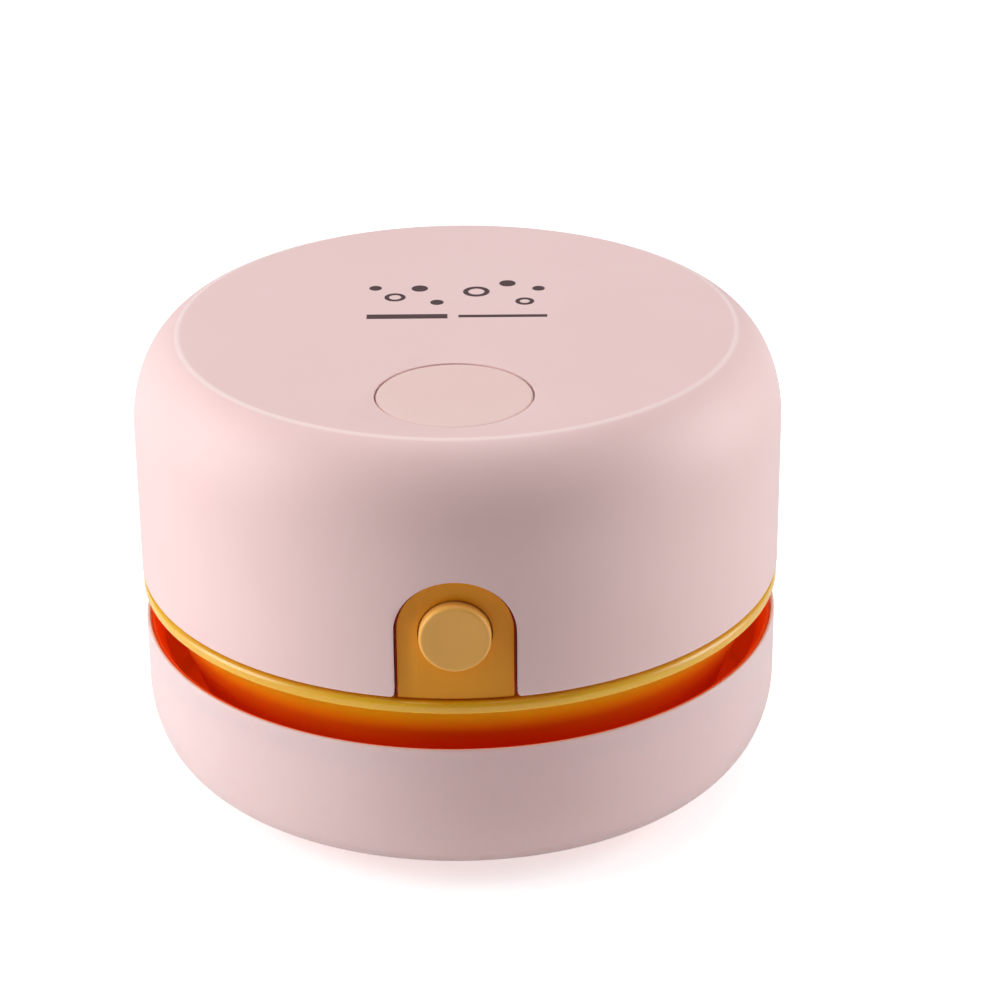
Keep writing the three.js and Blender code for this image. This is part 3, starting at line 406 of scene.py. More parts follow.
creamButtonLook = {
    "colour": srgb(246, 184, 88), "second": srgb(242, 178, 82), "grain": 7600, "patch": 90,
    "rough": (0.38, 0.44), "depth": 0.015, "strength": 0.35, "shine": 0.45,
}
chassisLook = {
    "colour": srgb(222, 156, 66), "second": srgb(212, 145, 56), "grain": 5200, "patch": 55,
    "rough": (0.46, 0.56), "depth": 0.02, "strength": 0.4,
}
whiteLook = {
    "colour": srgb(234, 232, 226), "second": srgb(226, 223, 215), "grain": 6200, "patch": 80,
    "rough": (0.45, 0.55), "depth": 0.02, "strength": 0.4,
}
blackLook = {
    "colour": srgb(44, 44, 46), "second": srgb(36, 36, 39), "grain": 6200, "patch": 80,
    "rough": (0.42, 0.55), "depth": 0.02, "strength": 0.5,
}
sealLook = {
    "colour": srgb(78, 74, 72), "second": srgb(64, 61, 60), "grain": 5600, "patch": 120,
    "rough": (0.68, 0.82), "depth": 0.03, "strength": 0.5, "shine": 0.3,
}
# where light and shade are painted on: a highlight along the crease, shade and a glow in the bowl, shade
# round the tab, with distances in millimetres
creaseHighlight = {"radius": 35.1, "core": 0.1, "fade": 0.5, "above": 59, "colour": srgb(248, 222, 219)}
# painted shade and glow of the bowl: shade stops by height, and the colours of a faint emission that stops
# below the rim band
bowlShadeAndGlow = {
    "low": 16, "high": 27, "through": 0.045,
    "shadeRamp": [
        (0, srgb(228, 82, 6)), (0.54, srgb(238, 150, 10)), (0.66, srgb(255, 194, 60)),
        (0.78, srgb(255, 230, 150)), (0.9, srgb(255, 240, 200)), (1, srgb(255, 255, 255)),
    ],
    "light": [
        (0, srgb(140, 26, 0)), (0.5, srgb(150, 36, 0)), (0.68, srgb(236, 120, 0)),
        (0.9, srgb(240, 150, 6)), (0.93, srgb(0, 0, 0)), (1, srgb(0, 0, 0)),
    ],
}
# painted shade round the tab: between these radii the step and the sides turn from the face colour to dark
# red
tabStep = {"inner": 39.7, "outer": 40.1, "colour": srgb(196, 40, 4)}


def openPlastic(name, look):
    # the material again, with what its base colour comes from and a place to measure from
    material = plastic(name, look)
    tree = material.node_tree
    shader = tree.nodes["Principled BSDF"]
    base = shader.inputs["Base Color"].links[0].from_socket
    return material, tree, shader, base, addNode(tree, "TexCoord")


def axisDistance(tree, place):
    flat = addNode(tree, "VectorMath", {1: (1, 1, 0)}, operation="MULTIPLY")
    away = addNode(tree, "VectorMath", operation="LENGTH")
    connect(tree, (place, "Object", flat, 0), (flat, "Vector", away, 0))
    return away


def fillRamp(tree, stops):
    # a new ramp has its first and its last stop
    ramp = addNode(tree, "ValToRGB")
    elements = ramp.color_ramp.elements
    elements[0].color = stops[0][1]
    elements[1].color = stops[-1][1]
    for position, colour in stops[1:-1]:
        elements.new(position).color = colour
    return ramp


def makeShellPink():
    # painted highlight: a thin paler line along the crease round the flat top
    material, tree, shader, base, place = openPlastic("pinkShellPlastic", pinkShellLook)
    reach = axisDistance(tree, place)
    away = addNode(tree, "Math", {1: creaseHighlight["radius"] * mm}, operation="SUBTRACT")
    size = addNode(tree, "Math", operation="ABSOLUTE")
    line = addNode(tree, "MapRange", interpolation_type="SMOOTHSTEP")
    setInputs(line, {"From Min": creaseHighlight["fade"] * mm, "From Max": creaseHighlight["core"] * mm})
    split = addNode(tree, "SeparateXYZ")
    high = addNode(tree, "Math", {1: creaseHighlight["above"] * mm}, operation="GREATER_THAN")
    both = addNode(tree, "Math", operation="MULTIPLY")
    paler = addNode(tree, "Mix", {"B": creaseHighlight["colour"]}, data_type="RGBA")
    tree.links.new(base, paler.inputs["A"])
    connect(
        tree,
        (reach, "Value", away, 0), (away, 0, size, 0), (size, 0, line, "Value"),
        (place, "Object", split, "Vector"), (split, "Z", high, 0),
        (line, "Result", both, 0), (high, 0, both, 1),
        (both, 0, paler, "Factor"), (paler, "Result", shader, "Base Color"),
    )
    return material


def makeCupAmber():
    # painted shade and a painted glow: the bowl turns darker and redder towards its bottom, below the rim,
    # and glows faintly in orange up to the rim band
    material, tree, shader, base, place = openPlastic("amberCupPlastic", amberCupLook)
    split = addNode(tree, "SeparateXYZ")
    depth = addNode(tree, "MapRange")
    setInputs(depth, {"From Min": bowlShadeAndGlow["low"] * mm, "From Max": bowlShadeAndGlow["high"] * mm})
    shadeRamp = fillRamp(tree, bowlShadeAndGlow["shadeRamp"])
    shadedColour = addNode(tree, "Mix", {"Factor": 1}, data_type="RGBA", blend_type="MULTIPLY")
    # painted glow: a faint orange emission that fades out below the rim band
    through = fillRamp(tree, bowlShadeAndGlow["light"])
    shader.inputs["Emission Strength"].default_value = bowlShadeAndGlow["through"]
    tree.links.new(base, shadedColour.inputs["A"])
    connect(
        tree,
        (place, "Object", split, "Vector"), (split, "Z", depth, "Value"),
        (depth, "Result", shadeRamp, "Fac"), (shadeRamp, "Color", shadedColour, "B"),
        (shadedColour, "Result", shader, "Base Color"),
        (depth, "Result", through, "Fac"), (through, "Color", shader, "Emission Color"),
    )
    return material


def makeTabAmber():
    # painted shade: the step and the sides behind the edge of the tab are dark red, darker than its face
    material, tree, shader, base, place = openPlastic("amberTabPlastic", amberTabLook)
    reach = axisDistance(tree, place)
    depth = addNode(tree, "MapRange")
    setInputs(depth, {"From Min": tabStep["inner"] * mm, "From Max": tabStep["outer"] * mm})
    shadedColour = addNode(tree, "Mix", {"A": tabStep["colour"]}, data_type="RGBA")
    tree.links.new(base, shadedColour.inputs["B"])
    connect(
        tree,
        (reach, "Value", depth, "Value"), (depth, "Result", shadedColour, "Factor"),
        (shadedColour, "Result", shader, "Base Color"),
    )
    return material


pinkShell = makeShellPink()
pinkCap = plastic("pinkCapPlastic", pinkCapLook)
pinkRing = plastic("pinkRingPlastic", pinkRingLook)
amberCup = makeCupAmber()
amberTab = makeTabAmber()
orangeLiner = plastic("orangeLinerPlastic", orangeLinerLook)
creamButton = plastic("creamButtonPlastic", creamButtonLook)
chassisPlastic = plastic("chassisPlastic", chassisLook)
whitePlastic = plastic("whitePlastic", whiteLook)
blackPlastic = plastic("blackPlastic", blackLook)
sealRubber = plastic("sealRubber", sealLook)


def metal(name, look):
    # fine drawn lines in its gloss over broad, faint patches
    material, tree, shader = newMaterial(name)
    alongX, alongY, alongZ = look["along"]
    lines = useGroup(tree, hairlines, Along_X=alongX, Along_Y=alongY, Along_Z=alongZ)
    grain = useGroup(tree, mouldGrain, Grain_Scale=2600, Patch_Scale=160)
    colour = mixColours(tree, look["colour"], look["second"], grain.outputs["Patches"])
    rough = rangeOf(tree, lines.outputs["Height"], *look["rough"])
    bump = bumpFrom(tree, lines.outputs["Height"], 0.01, 0.3)
    dress(tree, shader, colour, rough, bump)
    shader.inputs["Metallic"].default_value = 1
    return material


motorSteel = metal("motorSteel", {
    "colour": srgb(188, 190, 193), "second": srgb(172, 174, 178),
    "rough": (0.24, 0.42), "along": (300, 300, 5200),
})
screwSteel = metal("screwSteel", {
    "colour": srgb(206, 208, 212), "second": srgb(186, 189, 194),
    "rough": (0.2, 0.36), "along": (2600, 2600, 900),
})
springSteel = metal("springSteel", {
    "colour": srgb(214, 216, 219), "second": srgb(198, 200, 204),
    "rough": (0.16, 0.3), "along": (1500, 4200, 1500),
})
contactBrass = metal("contactBrass", {
    "colour": srgb(214, 192, 138), "second": srgb(202, 178, 122),
    "rough": (0.24, 0.38), "along": (4200, 400, 700),
})


bristleHeight = 4.4
cellSleeve = {"copperFrom": 14, "bareFrom": 24.9}  # from the middle of the cell


def makeBristleNylon():
    # paler towards the tips, with a slight change from strand to strand
    material, tree, shader = newMaterial("bristleNylon")
    place = addNode(tree, "TexCoord")
    split = addNode(tree, "SeparateXYZ")
    tips = addNode(tree, "MapRange", {"From Min": 0, "From Max": bristleHeight * mm})
    strand = addNode(tree, "TexNoise", {"Scale": 700})
    colour = mixColours(tree, srgb(240, 237, 230), srgb(212, 206, 196), tips.outputs["Result"])
    tone = addNode(tree, "Mix", {"Factor": 0.25}, data_type="RGBA", blend_type="MULTIPLY")
    rough = rangeOf(tree, strand.outputs["Fac"], 0.32, 0.5)
    connect(
        tree,
        (place, "Object", split, "Vector"), (place, "Object", strand, "Vector"),
        (split, "Z", tips, "Value"), (colour, "Result", tone, "A"), (strand, "Color", tone, "B"),
    )
    dress(tree, shader, tone, rough)
    return material


def makeFleece():
    # felted fibres: stretched noise in two directions over soft lumps
    material, tree, shader = newMaterial("filterFleece")
    first = useGroup(tree, hairlines, Along_X=900, Along_Y=5200, Along_Z=900)
    second = useGroup(tree, hairlines, Along_X=4700, Along_Y=800, Along_Z=900)
    fibres = addNode(tree, "Math", operation="MAXIMUM")
    grain = useGroup(tree, mouldGrain, Grain_Scale=900, Patch_Scale=380)
    colour = mixColours(tree, srgb(240, 238, 231), srgb(222, 219, 209), grain.outputs["Patches"])
    bump = bumpFrom(tree, fibres.outputs[0], 0.25, 0.9)
    connect(tree, (first, "Height", fibres, 0), (second, "Height", fibres, 1))
    dress(tree, shader, colour, bump=bump)
    setInputs(shader, {"Roughness": 0.95, "Sheen Weight": 0.3})
    return material


def makeCellWrap():
    # printed sleeve: a dark wrap with one copper coloured end, and bare steel at the contacts
    material, tree, shader = newMaterial("cellWrap")
    place = addNode(tree, "TexCoord")
    split = addNode(tree, "SeparateXYZ")
    far = addNode(tree, "Math", operation="ABSOLUTE")
    band = addNode(tree, "Math", {1: cellSleeve["copperFrom"] * mm}, operation="GREATER_THAN")
    bare = addNode(tree, "Math", {1: cellSleeve["bareFrom"] * mm}, operation="GREATER_THAN")
    grain = useGroup(tree, mouldGrain, Grain_Scale=4200, Patch_Scale=90)
    sleeve = mixColours(tree, srgb(58, 66, 84), srgb(176, 112, 62), band.outputs[0])
    colour = addNode(tree, "Mix", {"B": srgb(206, 208, 211)}, data_type="RGBA")
    rough = rangeOf(tree, grain.outputs["Patches"], 0.26, 0.36)
    bump = bumpFrom(tree, grain.outputs["Height"], 0.01, 0.2)
    connect(
        tree,
        (place, "Object", split, "Vector"), (split, "Y", far, 0), (far, 0, band, 0), (far, 0, bare, 0),
        (sleeve, "Result", colour, "A"), (bare, 0, colour, "Factor"), (bare, 0, shader, "Metallic"),
    )
    dress(tree, shader, colour, rough, bump)
    return material


def makeBoardGreen():
    # solder mask with copper tracks showing through as a paler green
    material, tree, shader = newMaterial("boardGreen")
    place = addNode(tree, "TexCoord")
    tracks = addNode(tree, "TexBrick")
    setInputs(tracks, {
        "Scale": 260, "Mortar Size": 0.03, "Color1": srgb(34, 96, 62), "Color2": srgb(30, 88, 56),
        "Mortar": srgb(72, 140, 92),
    })
    grain = useGroup(tree, mouldGrain, Grain_Scale=5200, Patch_Scale=120)
    rough = rangeOf(tree, grain.outputs["Patches"], 0.3, 0.42)
    bump = bumpFrom(tree, tracks.outputs["Fac"], 0.03, 0.5)
    connect(
        tree,
        (place, "Object", tracks, "Vector"), (tracks, "Color", shader, "Base Color"),
        (rough, "Result", shader, "Roughness"), (bump, "Normal", shader, "Normal"),
    )
    return material


def makePrintInk():
    # screen printed ink: dark, with pin holes that let it look a little dry
    material, tree, shader = newMaterial("printInk")
    dry = useGroup(tree, specks, Scale=5200, Size=0.16)
    grain = useGroup(tree, mouldGrain, Grain_Scale=7000, Patch_Scale=500)
    colour = mixColours(tree, srgb(84, 64, 67), srgb(110, 88, 90), dry.outputs["Mask"])
    rough = rangeOf(tree, grain.outputs["Patches"], 0.5, 0.62)
    dress(tree, shader, colour, rough)
    return material


bristleNylon = makeBristleNylon()
filterFleece = makeFleece()
cellWrap = makeCellWrap()
boardGreen = makeBoardGreen()
printInk = makePrintInk()
print("materials made")


# Top shell: a moulded cover with a flat top, a faint crease, a round shoulder and a notch

shell = {
    "radius": 41.0, "wall": 1.8, "bottom": 28.6, "top": 60.0, "edgeRound": 0.45,
    "creaseRadius": 35.1, "shoulderStart": 48.4, "leanDegrees": 16, "steps": 168,
    "notchHalf": 7.3, "notchTop": 44.25, "archRise": 6.9, "cornerRound": 0.9,
    "creaseFlat": 0.7, "creaseStart": 0.22, "creaseDip": 0.004, "creaseDepth": 0.05,
    "buttonSetback": 22.3, "buttonHole": 9.65, "collarWall": 1.2, "collarDepth": 3.0, "collarTop": 59.5,
    "bossRadius": 2.4, "bossX": 9.7, "bossY": 30.6, "bossBottom": 30.8, "bossTop": 56.4,
    "screwHole": 1.4, "screwDepth": 6.7, "bevel": 0.28,
}


def shoulder(flatRadius, sideRadius, top, steps):
    lean = math.radians(shell["leanDegrees"])
    points = []
    for i in range(steps + 1):
        turn = lean + (math.pi / 2 - lean) * i / steps
        out = (math.sin(turn) - math.sin(lean)) / (1 - math.sin(lean))
        up = math.cos(turn) / math.cos(lean)
        points.append((
            flatRadius + (sideRadius - flatRadius) * out,
            shell["shoulderStart"] + (top - shell["shoulderStart"]) * up,
        ))
    return points


def archOutline(inset, bottom, flare):
    # the notch seen from the front as [x, z], with its lower corners rounded outwards by flare
    half = shell["notchHalf"] - inset
    rise = shell["archRise"] - inset
    spring = shell["notchTop"] - shell["archRise"]
    left = [(-half, bottom)]
    if flare:
        corner = arc((-half - flare, shell["bottom"] + flare), flare, -90, 0, 6)
        left = [(-half - flare, bottom)] + corner
    arch = []
    for i in range(33):
        turn = math.pi * (1 - i / 32)
        arch.append((half * math.cos(turn), spring + rise * math.sin(turn)))
    right = [(-x, z) for x, z in reversed(left)]
    return left + arch + right


def notchPrism(name, inset, bottom, flare):
    front = -(shell["radius"] + 2)
    points = [(x, front, z) for x, z in archOutline(inset, bottom, flare)]
    return drawPrism(name, points, (0, shell["radius"] * 0.5, 0))


def makeTopShell():
    top = shell["top"]
    outerRadius = shell["radius"]
    innerRadius = outerRadius - shell["wall"]
    edge = shell["edgeRound"]
    innerTop = top - shell["wall"]
    crease = shell["creaseRadius"]
    outer = shoulder(crease, outerRadius, top, 26)
    inner = shoulder(crease - shell["wall"], innerRadius, innerTop, 12)
    outer[0] = (outer[0][0], outer[0][1] - shell["creaseDepth"])
    profile = [(0, top), (crease - shell["creaseFlat"], top)]
    profile += [(crease - shell["creaseStart"], top - shell["creaseDip"])] + outer
    profile += between(outer[-1], (outerRadius, shell["bottom"] + edge), 14)
    profile += arc((outerRadius - edge, shell["bottom"] + edge), edge, 0, -90, 5)[1:]
    profile += [(innerRadius, shell["bottom"]), (innerRadius, shell["shoulderStart"])]
    profile += list(reversed(inner))[1:]
    profile += [(0, innerTop)]
    piece = spinProfile("topShell", profile, shell["steps"])
    collarRadius = shell["buttonHole"] + shell["collarWall"]
    back = -shell["buttonSetback"]
    collar = addRod(collarRadius, 0, back, innerTop - shell["collarDepth"], shell["collarTop"], 96)
    combine(piece, collar, "UNION")
    for x in (-shell["bossX"], shell["bossX"]):
        for y in (-shell["bossY"], shell["bossY"]):
            low = shell["bossBottom"]
            combine(piece, addRod(shell["bossRadius"], x, y, low, shell["bossTop"]), "UNION")
            bore = addRod(shell["screwHole"], x, y, low - 2 * overcut, low + shell["screwDepth"])
            combine(piece, bore, "DIFFERENCE")
    hole = addRod(shell["buttonHole"], 0, back, innerTop - 6 * overcut, top + 2 * overcut, 128)
    combine(piece, hole, "DIFFERENCE")
    notch = notchPrism("notchCut", 0, shell["bottom"] - 2 * overcut, shell["cornerRound"])
    combine(piece, notch, "DIFFERENCE")
    softenEdges(piece, shell["bevel"], 3, 50)
    return finishPiece(piece, pinkShell, "upper", ["top_shell"], 40)


makeTopShell()
print("top shell made")


# Power button: a flush round cap with a soft edge and snap hooks under it

powerCap = {
    "radius": 9.45, "top": 60.0, "edgeRound": 0.35, "thickness": 1.6, "skirtWall": 1.2, "skirtBottom": 53.9,
    "flatEdge": 0.9, "hookOuter": 10.6, "hookTop": 54.9, "hookLap": 0.5, "hookHalf": 2.7,
    "hookCut": (50, 56), "bossRadius": 2.2, "bossBottom": 57.3,
}


def makePowerButton():
    radius = powerCap["radius"]
    top = powerCap["top"]
    edge = powerCap["edgeRound"]
    skirt = powerCap["skirtBottom"]
    boss = powerCap["bossRadius"]
    under = top - powerCap["thickness"]
    inner = radius - powerCap["skirtWall"]
    profile = [(0, powerCap["bossBottom"]), (boss, powerCap["bossBottom"]), (boss, under)]
    profile += [(inner, under), (inner, skirt), (radius, skirt)]
    profile += arc((radius - edge, top - edge), edge, 0, 90, 6)
    profile += [(radius - powerCap["flatEdge"], top), (0, top)]
    piece = spinProfile("powerButton", profile, 128)
    root = radius - powerCap["hookLap"]
    tip = powerCap["hookOuter"]
    high = powerCap["hookTop"]
    hooks = spinProfile("hookRing", [(root, skirt), (tip, skirt), (tip, high), (root, high)], 96)
    reach = tip + overcut
    half = powerCap["hookHalf"]
    low, high = powerCap["hookCut"]
    bars = addBox((-reach, -half, low), (reach, half, high))
    combine(bars, addBox((-half, -reach, low), (half, reach, high)), "UNION")
    combine(hooks, bars, "INTERSECT")
    combine(piece, hooks, "UNION")
    piece.location = (0, -shell["buttonSetback"] * mm, 0)
    return finishPiece(piece, pinkCap, "power", ["power_button"], 40)


makePowerButton()


# Latch tab in the notch, with the legs that carry the release button

tab = {
    "radius": 40.2, "wall": 1.0, "gap": 0.38, "step": 0.45, "stepGap": 0.1, "holeGap": 0.15,
    "bottom": 28.45, "sheetTop": 45, "holeSpan": (-45, -37), "edge": 0.14,
    "legTop": 41.7, "legBottom": 30.8, "legOuter": 6.75, "legInner": 5.35, "legDrop": 2,
    "legClear": 0.2, "legStart": 0.35, "guideFront": -35.67, "guideBack": -34.47,
    "stemHole": 1.9, "stemSpan": (-37, -33),
}
button = {
    "radius": 4.3, "height": 37.1, "face": -41.8, "edgeRound": 0.45, "flange": 5.05,
    "flangeFront": -38.57, "flangeBack": -37.57, "stem": 1.6, "stemEnd": -34.47,
    "crown": [(0, 0.12), (2.365, 0.085), (3.5, 0.015)],
}


def notchSheet(name, inner, outer, inset):
    # a bent sheet between two radii, in the outline of the notch
    low = tab["bottom"]
    high = tab["sheetTop"]
    sheet = spinProfile(name, [(inner, low), (outer, low), (outer, high), (inner, high)], shell["steps"])
    combine(sheet, notchPrism(name + "Shape", inset, low - overcut, 0), "INTERSECT")
    return sheet


def makeLatchTab():
    inner = tab["radius"] - tab["wall"]
    sheet = notchSheet("latchTab", inner, tab["radius"], tab["gap"])
    step = notchSheet("tabStep", inner, inner + tab["step"], tab["stepGap"])
    for part in (sheet, step):
        hole = addCrossRod(button["radius"] + tab["holeGap"], 0, button["height"], *tab["holeSpan"], 72)
        combine(part, hole, "DIFFERENCE")
    softenEdges(sheet, tab["edge"], 3, 50)
    legFront = -(inner - tab["legClear"]) + tab["legStart"]
    for side in (-1, 1):
        left, right = sorted((side * tab["legInner"], side * tab["legOuter"]))
        legTop = tab["legTop"] - tab["legDrop"]
        leg = addBox((left, legFront, tab["legBottom"]), (right, tab["guideBack"], legTop))
        combine(sheet, leg, "UNION")
    guide = addBox((-tab["legOuter"], tab["guideFront"], tab["legBottom"]),
                   (tab["legOuter"], tab["guideBack"], tab["legTop"]))
    combine(guide, addCrossRod(tab["stemHole"], 0, button["height"], *tab["stemSpan"]), "DIFFERENCE")
    combine(sheet, guide, "UNION")
    pick(sheet)
    step.select_set(True)
    bpy.ops.object.join()
    return finishPiece(sheet, amberTab, "upper", ["latch_housing"], 40)


def makeReleaseButton():
    # drawn upright, with its face at the top, and then turned to the front
    radius = button["radius"]
    edge = button["edgeRound"]
    face = -button["face"]
    profile = [(out, face - dip) for out, dip in button["crown"]]
    profile += arc((radius - edge, face - edge), edge, 90, 0, 7)
    profile += [(radius, -button["flangeFront"]), (button["flange"], -button["flangeFront"])]
    profile += [(button["flange"], -button["flangeBack"]), (button["stem"], -button["flangeBack"])]
    profile += [(button["stem"], -button["stemEnd"]), (0, -button["stemEnd"])]
    piece = spinProfile("releaseButton", profile, 96)
    piece.rotation_euler = (math.pi / 2, 0, 0)
    piece.location = (0, 0, button["height"] * mm)
    return finishPiece(piece, creamButton, "release", ["release_button"], 40)


makeLatchTab()
makeReleaseButton()
print("buttons and tab made")


# Dust cup: a bowl with a wide rim band, a hole for the inlet pipe and four screw bosses

cup = {
    "rimRadius": 40.9, "rimTop": 28.1, "bandRound": 0.6, "bottom": 6.5, "mouth": 36.0, "landBottom": 23.1,
    "wall": 1.6, "floorTop": 8.1, "floorRound": 1.6, "floorLap": 0.1, "steps": 168,
    "grooveInner": 36.7, "grooveOuter": 38.3, "grooveBottom": 27.2, "hole": 8.7,
    "bossRadius": 3.2, "bossTop": 12.6, "bossFoot": 0.8,
    "screwCircle": 22.0, "screwHole": 1.4, "screwCap": 1.9,
    "pocketHalf": 5.4, "pocketOuter": 37.6, "pocketLow": 25.2, "pocketHigh": 26.9, "pocketLap": 1.6,
}
cupSide = [(40.9, 26.8), (39.3, 25.97), (38.12, 24.49), (37.3, 22.37), (36.48, 19.86),
           (35.42, 17.34), (34.19, 13.87), (32.6, 10.7), (30.59, 8.08), (28.38, 6.5)]
pipe = {"inner": 7.0, "outer": 8.4, "bottom": 6.5, "top": 17.3, "edge": 0.3,
        "flange": 10.2, "flangeLow": 8.4, "flangeHigh": 9.4}


def smoothPath(points, steps):
    # Catmull-Rom curve through the points
    ends = [points[0]] + points + [points[-1]]
    path = []
    for i in range(len(points) - 1):
        a, b, c, d = (Vector(p) for p in ends[i:i + 4])
        for j in range(steps):
            t = j / steps
            square = (2 * a - 5 * b + 4 * c - d) * t * t
            cube = (3 * b - a - 3 * c + d) * t ** 3
            path.append(0.5 * (2 * b + (c - a) * t + square + cube))
    path.append(Vector(points[-1]))
    return path


def screwPlaces():
    return [(cup["screwCircle"] * math.cos(turn), cup["screwCircle"] * math.sin(turn))
            for turn in (math.pi * (0.25 + 0.5 * i) for i in range(4))]


def cupInside(outer):
    # the outline moved inwards by the wall, as far as it lies below the mouth and above the floor
    inner = []
    for i in range(1, len(outer) - 1):
        along = (outer[i + 1] - outer[i - 1]).normalized()
        point = outer[i] + Vector((along.y, -along.x)) * cup["wall"]
        if point.x < cup["mouth"] and point.y > cup["floorTop"] + cup["floorLap"]:
            inner.append(tuple(point))
    return inner


def makeDustCup():
    outer = smoothPath(cupSide, 4)
    inner = cupInside(outer)
    band = cup["bandRound"]
    rim = cup["rimTop"]
    bottom = cup["bottom"]
    profile = [(cup["hole"], bottom)]
    profile += [tuple(point) for point in reversed(outer)]
    profile += arc((cup["rimRadius"] - band, rim - band), band, 0, 90, 4)
    profile += [(cup["grooveOuter"], rim), (cup["grooveOuter"], cup["grooveBottom"])]
    profile += [(cup["grooveInner"], cup["grooveBottom"]), (cup["grooveInner"], rim)]
    profile += [(cup["mouth"], rim), (cup["mouth"], cup["landBottom"])]
    profile += inner
    profile += [(inner[-1][0] - cup["floorRound"], cup["floorTop"]), (cup["hole"], cup["floorTop"])]
    piece = spinProfile("dustCup", profile, cup["steps"])
    for x, y in screwPlaces():
        combine(piece, addRod(cup["bossRadius"], x, y, bottom + cup["bossFoot"], cup["bossTop"]), "UNION")
        bore = addRod(cup["screwHole"], x, y, bottom - overcut, cup["bossTop"] - cup["screwCap"], 24)
        combine(piece, bore, "DIFFERENCE")
    pocket = addBox((-cup["pocketHalf"], -cup["pocketOuter"], cup["pocketLow"]),
                    (cup["pocketHalf"], -cup["mouth"] + cup["pocketLap"], cup["pocketHigh"]))
    combine(piece, pocket, "DIFFERENCE")
    return finishPiece(piece, amberCup, "dust_unit", ["dust_cup"], 38)


def makeInletPipe():
    edge = pipe["edge"]
    inner = pipe["inner"]
    outer = pipe["outer"]
    rim = pipe["flange"]
    rimTop = pipe["flangeHigh"]
    top = pipe["top"]
    profile = [(inner, pipe["bottom"]), (outer, pipe["bottom"]), (outer, pipe["flangeLow"])]
    profile += [(rim, pipe["flangeLow"]), (rim, rimTop - edge), (rim - edge, rimTop)]
    profile += [(outer + edge, rimTop), (outer, rimTop + edge), (outer, top - edge)]
    profile += [(outer - edge, top), (inner + edge, top), (inner, top - edge)]
    piece = spinProfile("inletPipe", profile, 96)
    return finishPiece(piece, amberCup, "dust_unit", ["inlet_pipe"], 38)


makeDustCup()
makeInletPipe()
print("dust cup made")


# Base ring and base plate

ring = {
    "radius": 40.8, "wall": 0.9, "bottom": 3.4, "top": 21.7, "footWidth": 5.8, "footHeight": 9.8,
    "lipRound": 0.26, "lipWall": 0.42, "lipDrop": 0.06, "taperTop": 19.5, "taperBottom": 17.5,
    "flangeTop": 4.3, "flangeEdge": 33.5, "steps": 168,
}
plate = {
    "outer": 39.6, "lipOuter": 40.2, "lipInner": 39.85, "lipEdge": 0.1, "slopeBottom": 19.4, "wall": 1.0,
    "bottom": 4.6, "top": 6.2, "cornerRound": 1, "linerTop": 21.4,
    "inlet": 7.0, "nozzleOuter": 9.5, "nozzleBottom": 3.6, "nozzleEdge": 0.3,
    "grooveInner": 24.9, "grooveOuter": 29.5, "grooveTop": 5.4, "grooveSpread": 80.3,
    "screwHole": 1.4, "steps": 168,
}


def footArc(inset, start, end, steps):
    # the bottom corner of the ring, and of what lies in it: a quarter of an ellipse
    centre = (ring["radius"] - ring["footWidth"], ring["bottom"] + ring["footHeight"])
    points = []
    for i in range(steps + 1):
        turn = math.radians(start + (end - start) * i / steps)
        points.append((
            centre[0] + (ring["footWidth"] - inset) * math.cos(turn),
            centre[1] + (ring["footHeight"] - inset) * math.sin(turn),
        ))
    return points


def makeBaseRing():
    radius = ring["radius"]
    top = ring["top"]
    lip = ring["lipRound"]
    lipInner = radius - ring["lipWall"]
    profile = [(ring["flangeEdge"], ring["bottom"])]
    profile += footArc(0, -90, 0, 16)
    profile += between(profile[-1], (radius, top - lip), 8)
    profile += arc((radius - lip, top - lip), lip, 0, 90, 6)[1:]
    profile += [(lipInner, top - ring["lipDrop"]), (lipInner, ring["taperTop"])]
    profile += [(radius - ring["wall"], ring["taperBottom"])]
    profile += footArc(ring["wall"], 0, -90, 12)
    profile += [(ring["flangeEdge"], ring["flangeTop"])]
    piece = spinProfile("baseRing", profile, ring["steps"])
    return finishPiece(piece, pinkRing, "dust_unit", ["base_ring"], 40)


def brushSector(name, inner, outer, spread, low, high):
    half = spread / 2
    front = arc((0, 0), outer, -half, half, 24)
    back = arc((0, 0), inner, half, -half, 24)
    return drawPrism(name, [(x, y, low) for x, y in front + back], (0, 0, high - low))


def makeBasePlate():
    inner = plate["outer"] - plate["wall"]
    low = plate["nozzleBottom"]
    edge = plate["nozzleEdge"]
    nozzle = plate["nozzleOuter"]
    lip = plate["lipOuter"]
    lipEdge = plate["lipEdge"]
    corner = plate["cornerRound"]
    top = plate["top"]
    profile = [(plate["inlet"], low + edge), (plate["inlet"] + edge, low)]
    profile += [(nozzle - edge, low), (nozzle, low + edge), (nozzle, plate["bottom"])]
    profile += footArc(ring["radius"] - plate["outer"], -90, 0, 12)
    profile += [(plate["outer"], ring["taperBottom"]), (lip, ring["taperTop"])]
    profile += [(lip, plate["linerTop"] - lipEdge), (lip - lipEdge, plate["linerTop"])]
    profile += [(plate["lipInner"], plate["linerTop"]), (inner, plate["slopeBottom"])]
    profile += arc((inner - corner, top + corner), corner, 0, -90, 4)
    profile += [(plate["inlet"], top)]
    piece = spinProfile("basePlate", profile, plate["steps"])
    under = plate["bottom"] - overcut
    for i in range(4):
        groove = brushSector("grooveCut", plate["grooveInner"], plate["grooveOuter"], plate["grooveSpread"],
                             under, plate["grooveTop"])
        groove.rotation_euler = (0, 0, math.pi / 2 * i)
        combine(piece, groove, "DIFFERENCE")
    for x, y in screwPlaces():
        combine(piece, addRod(plate["screwHole"], x, y, under, top + overcut, 24), "DIFFERENCE")
    return finishPiece(piece, orangeLiner, "dust_unit", ["base_plate"], 38)


makeBaseRing()
makeBasePlate()
print("base made")


# Brushes: one tapered bristle, copied in rows that lean a little, on a thin backing

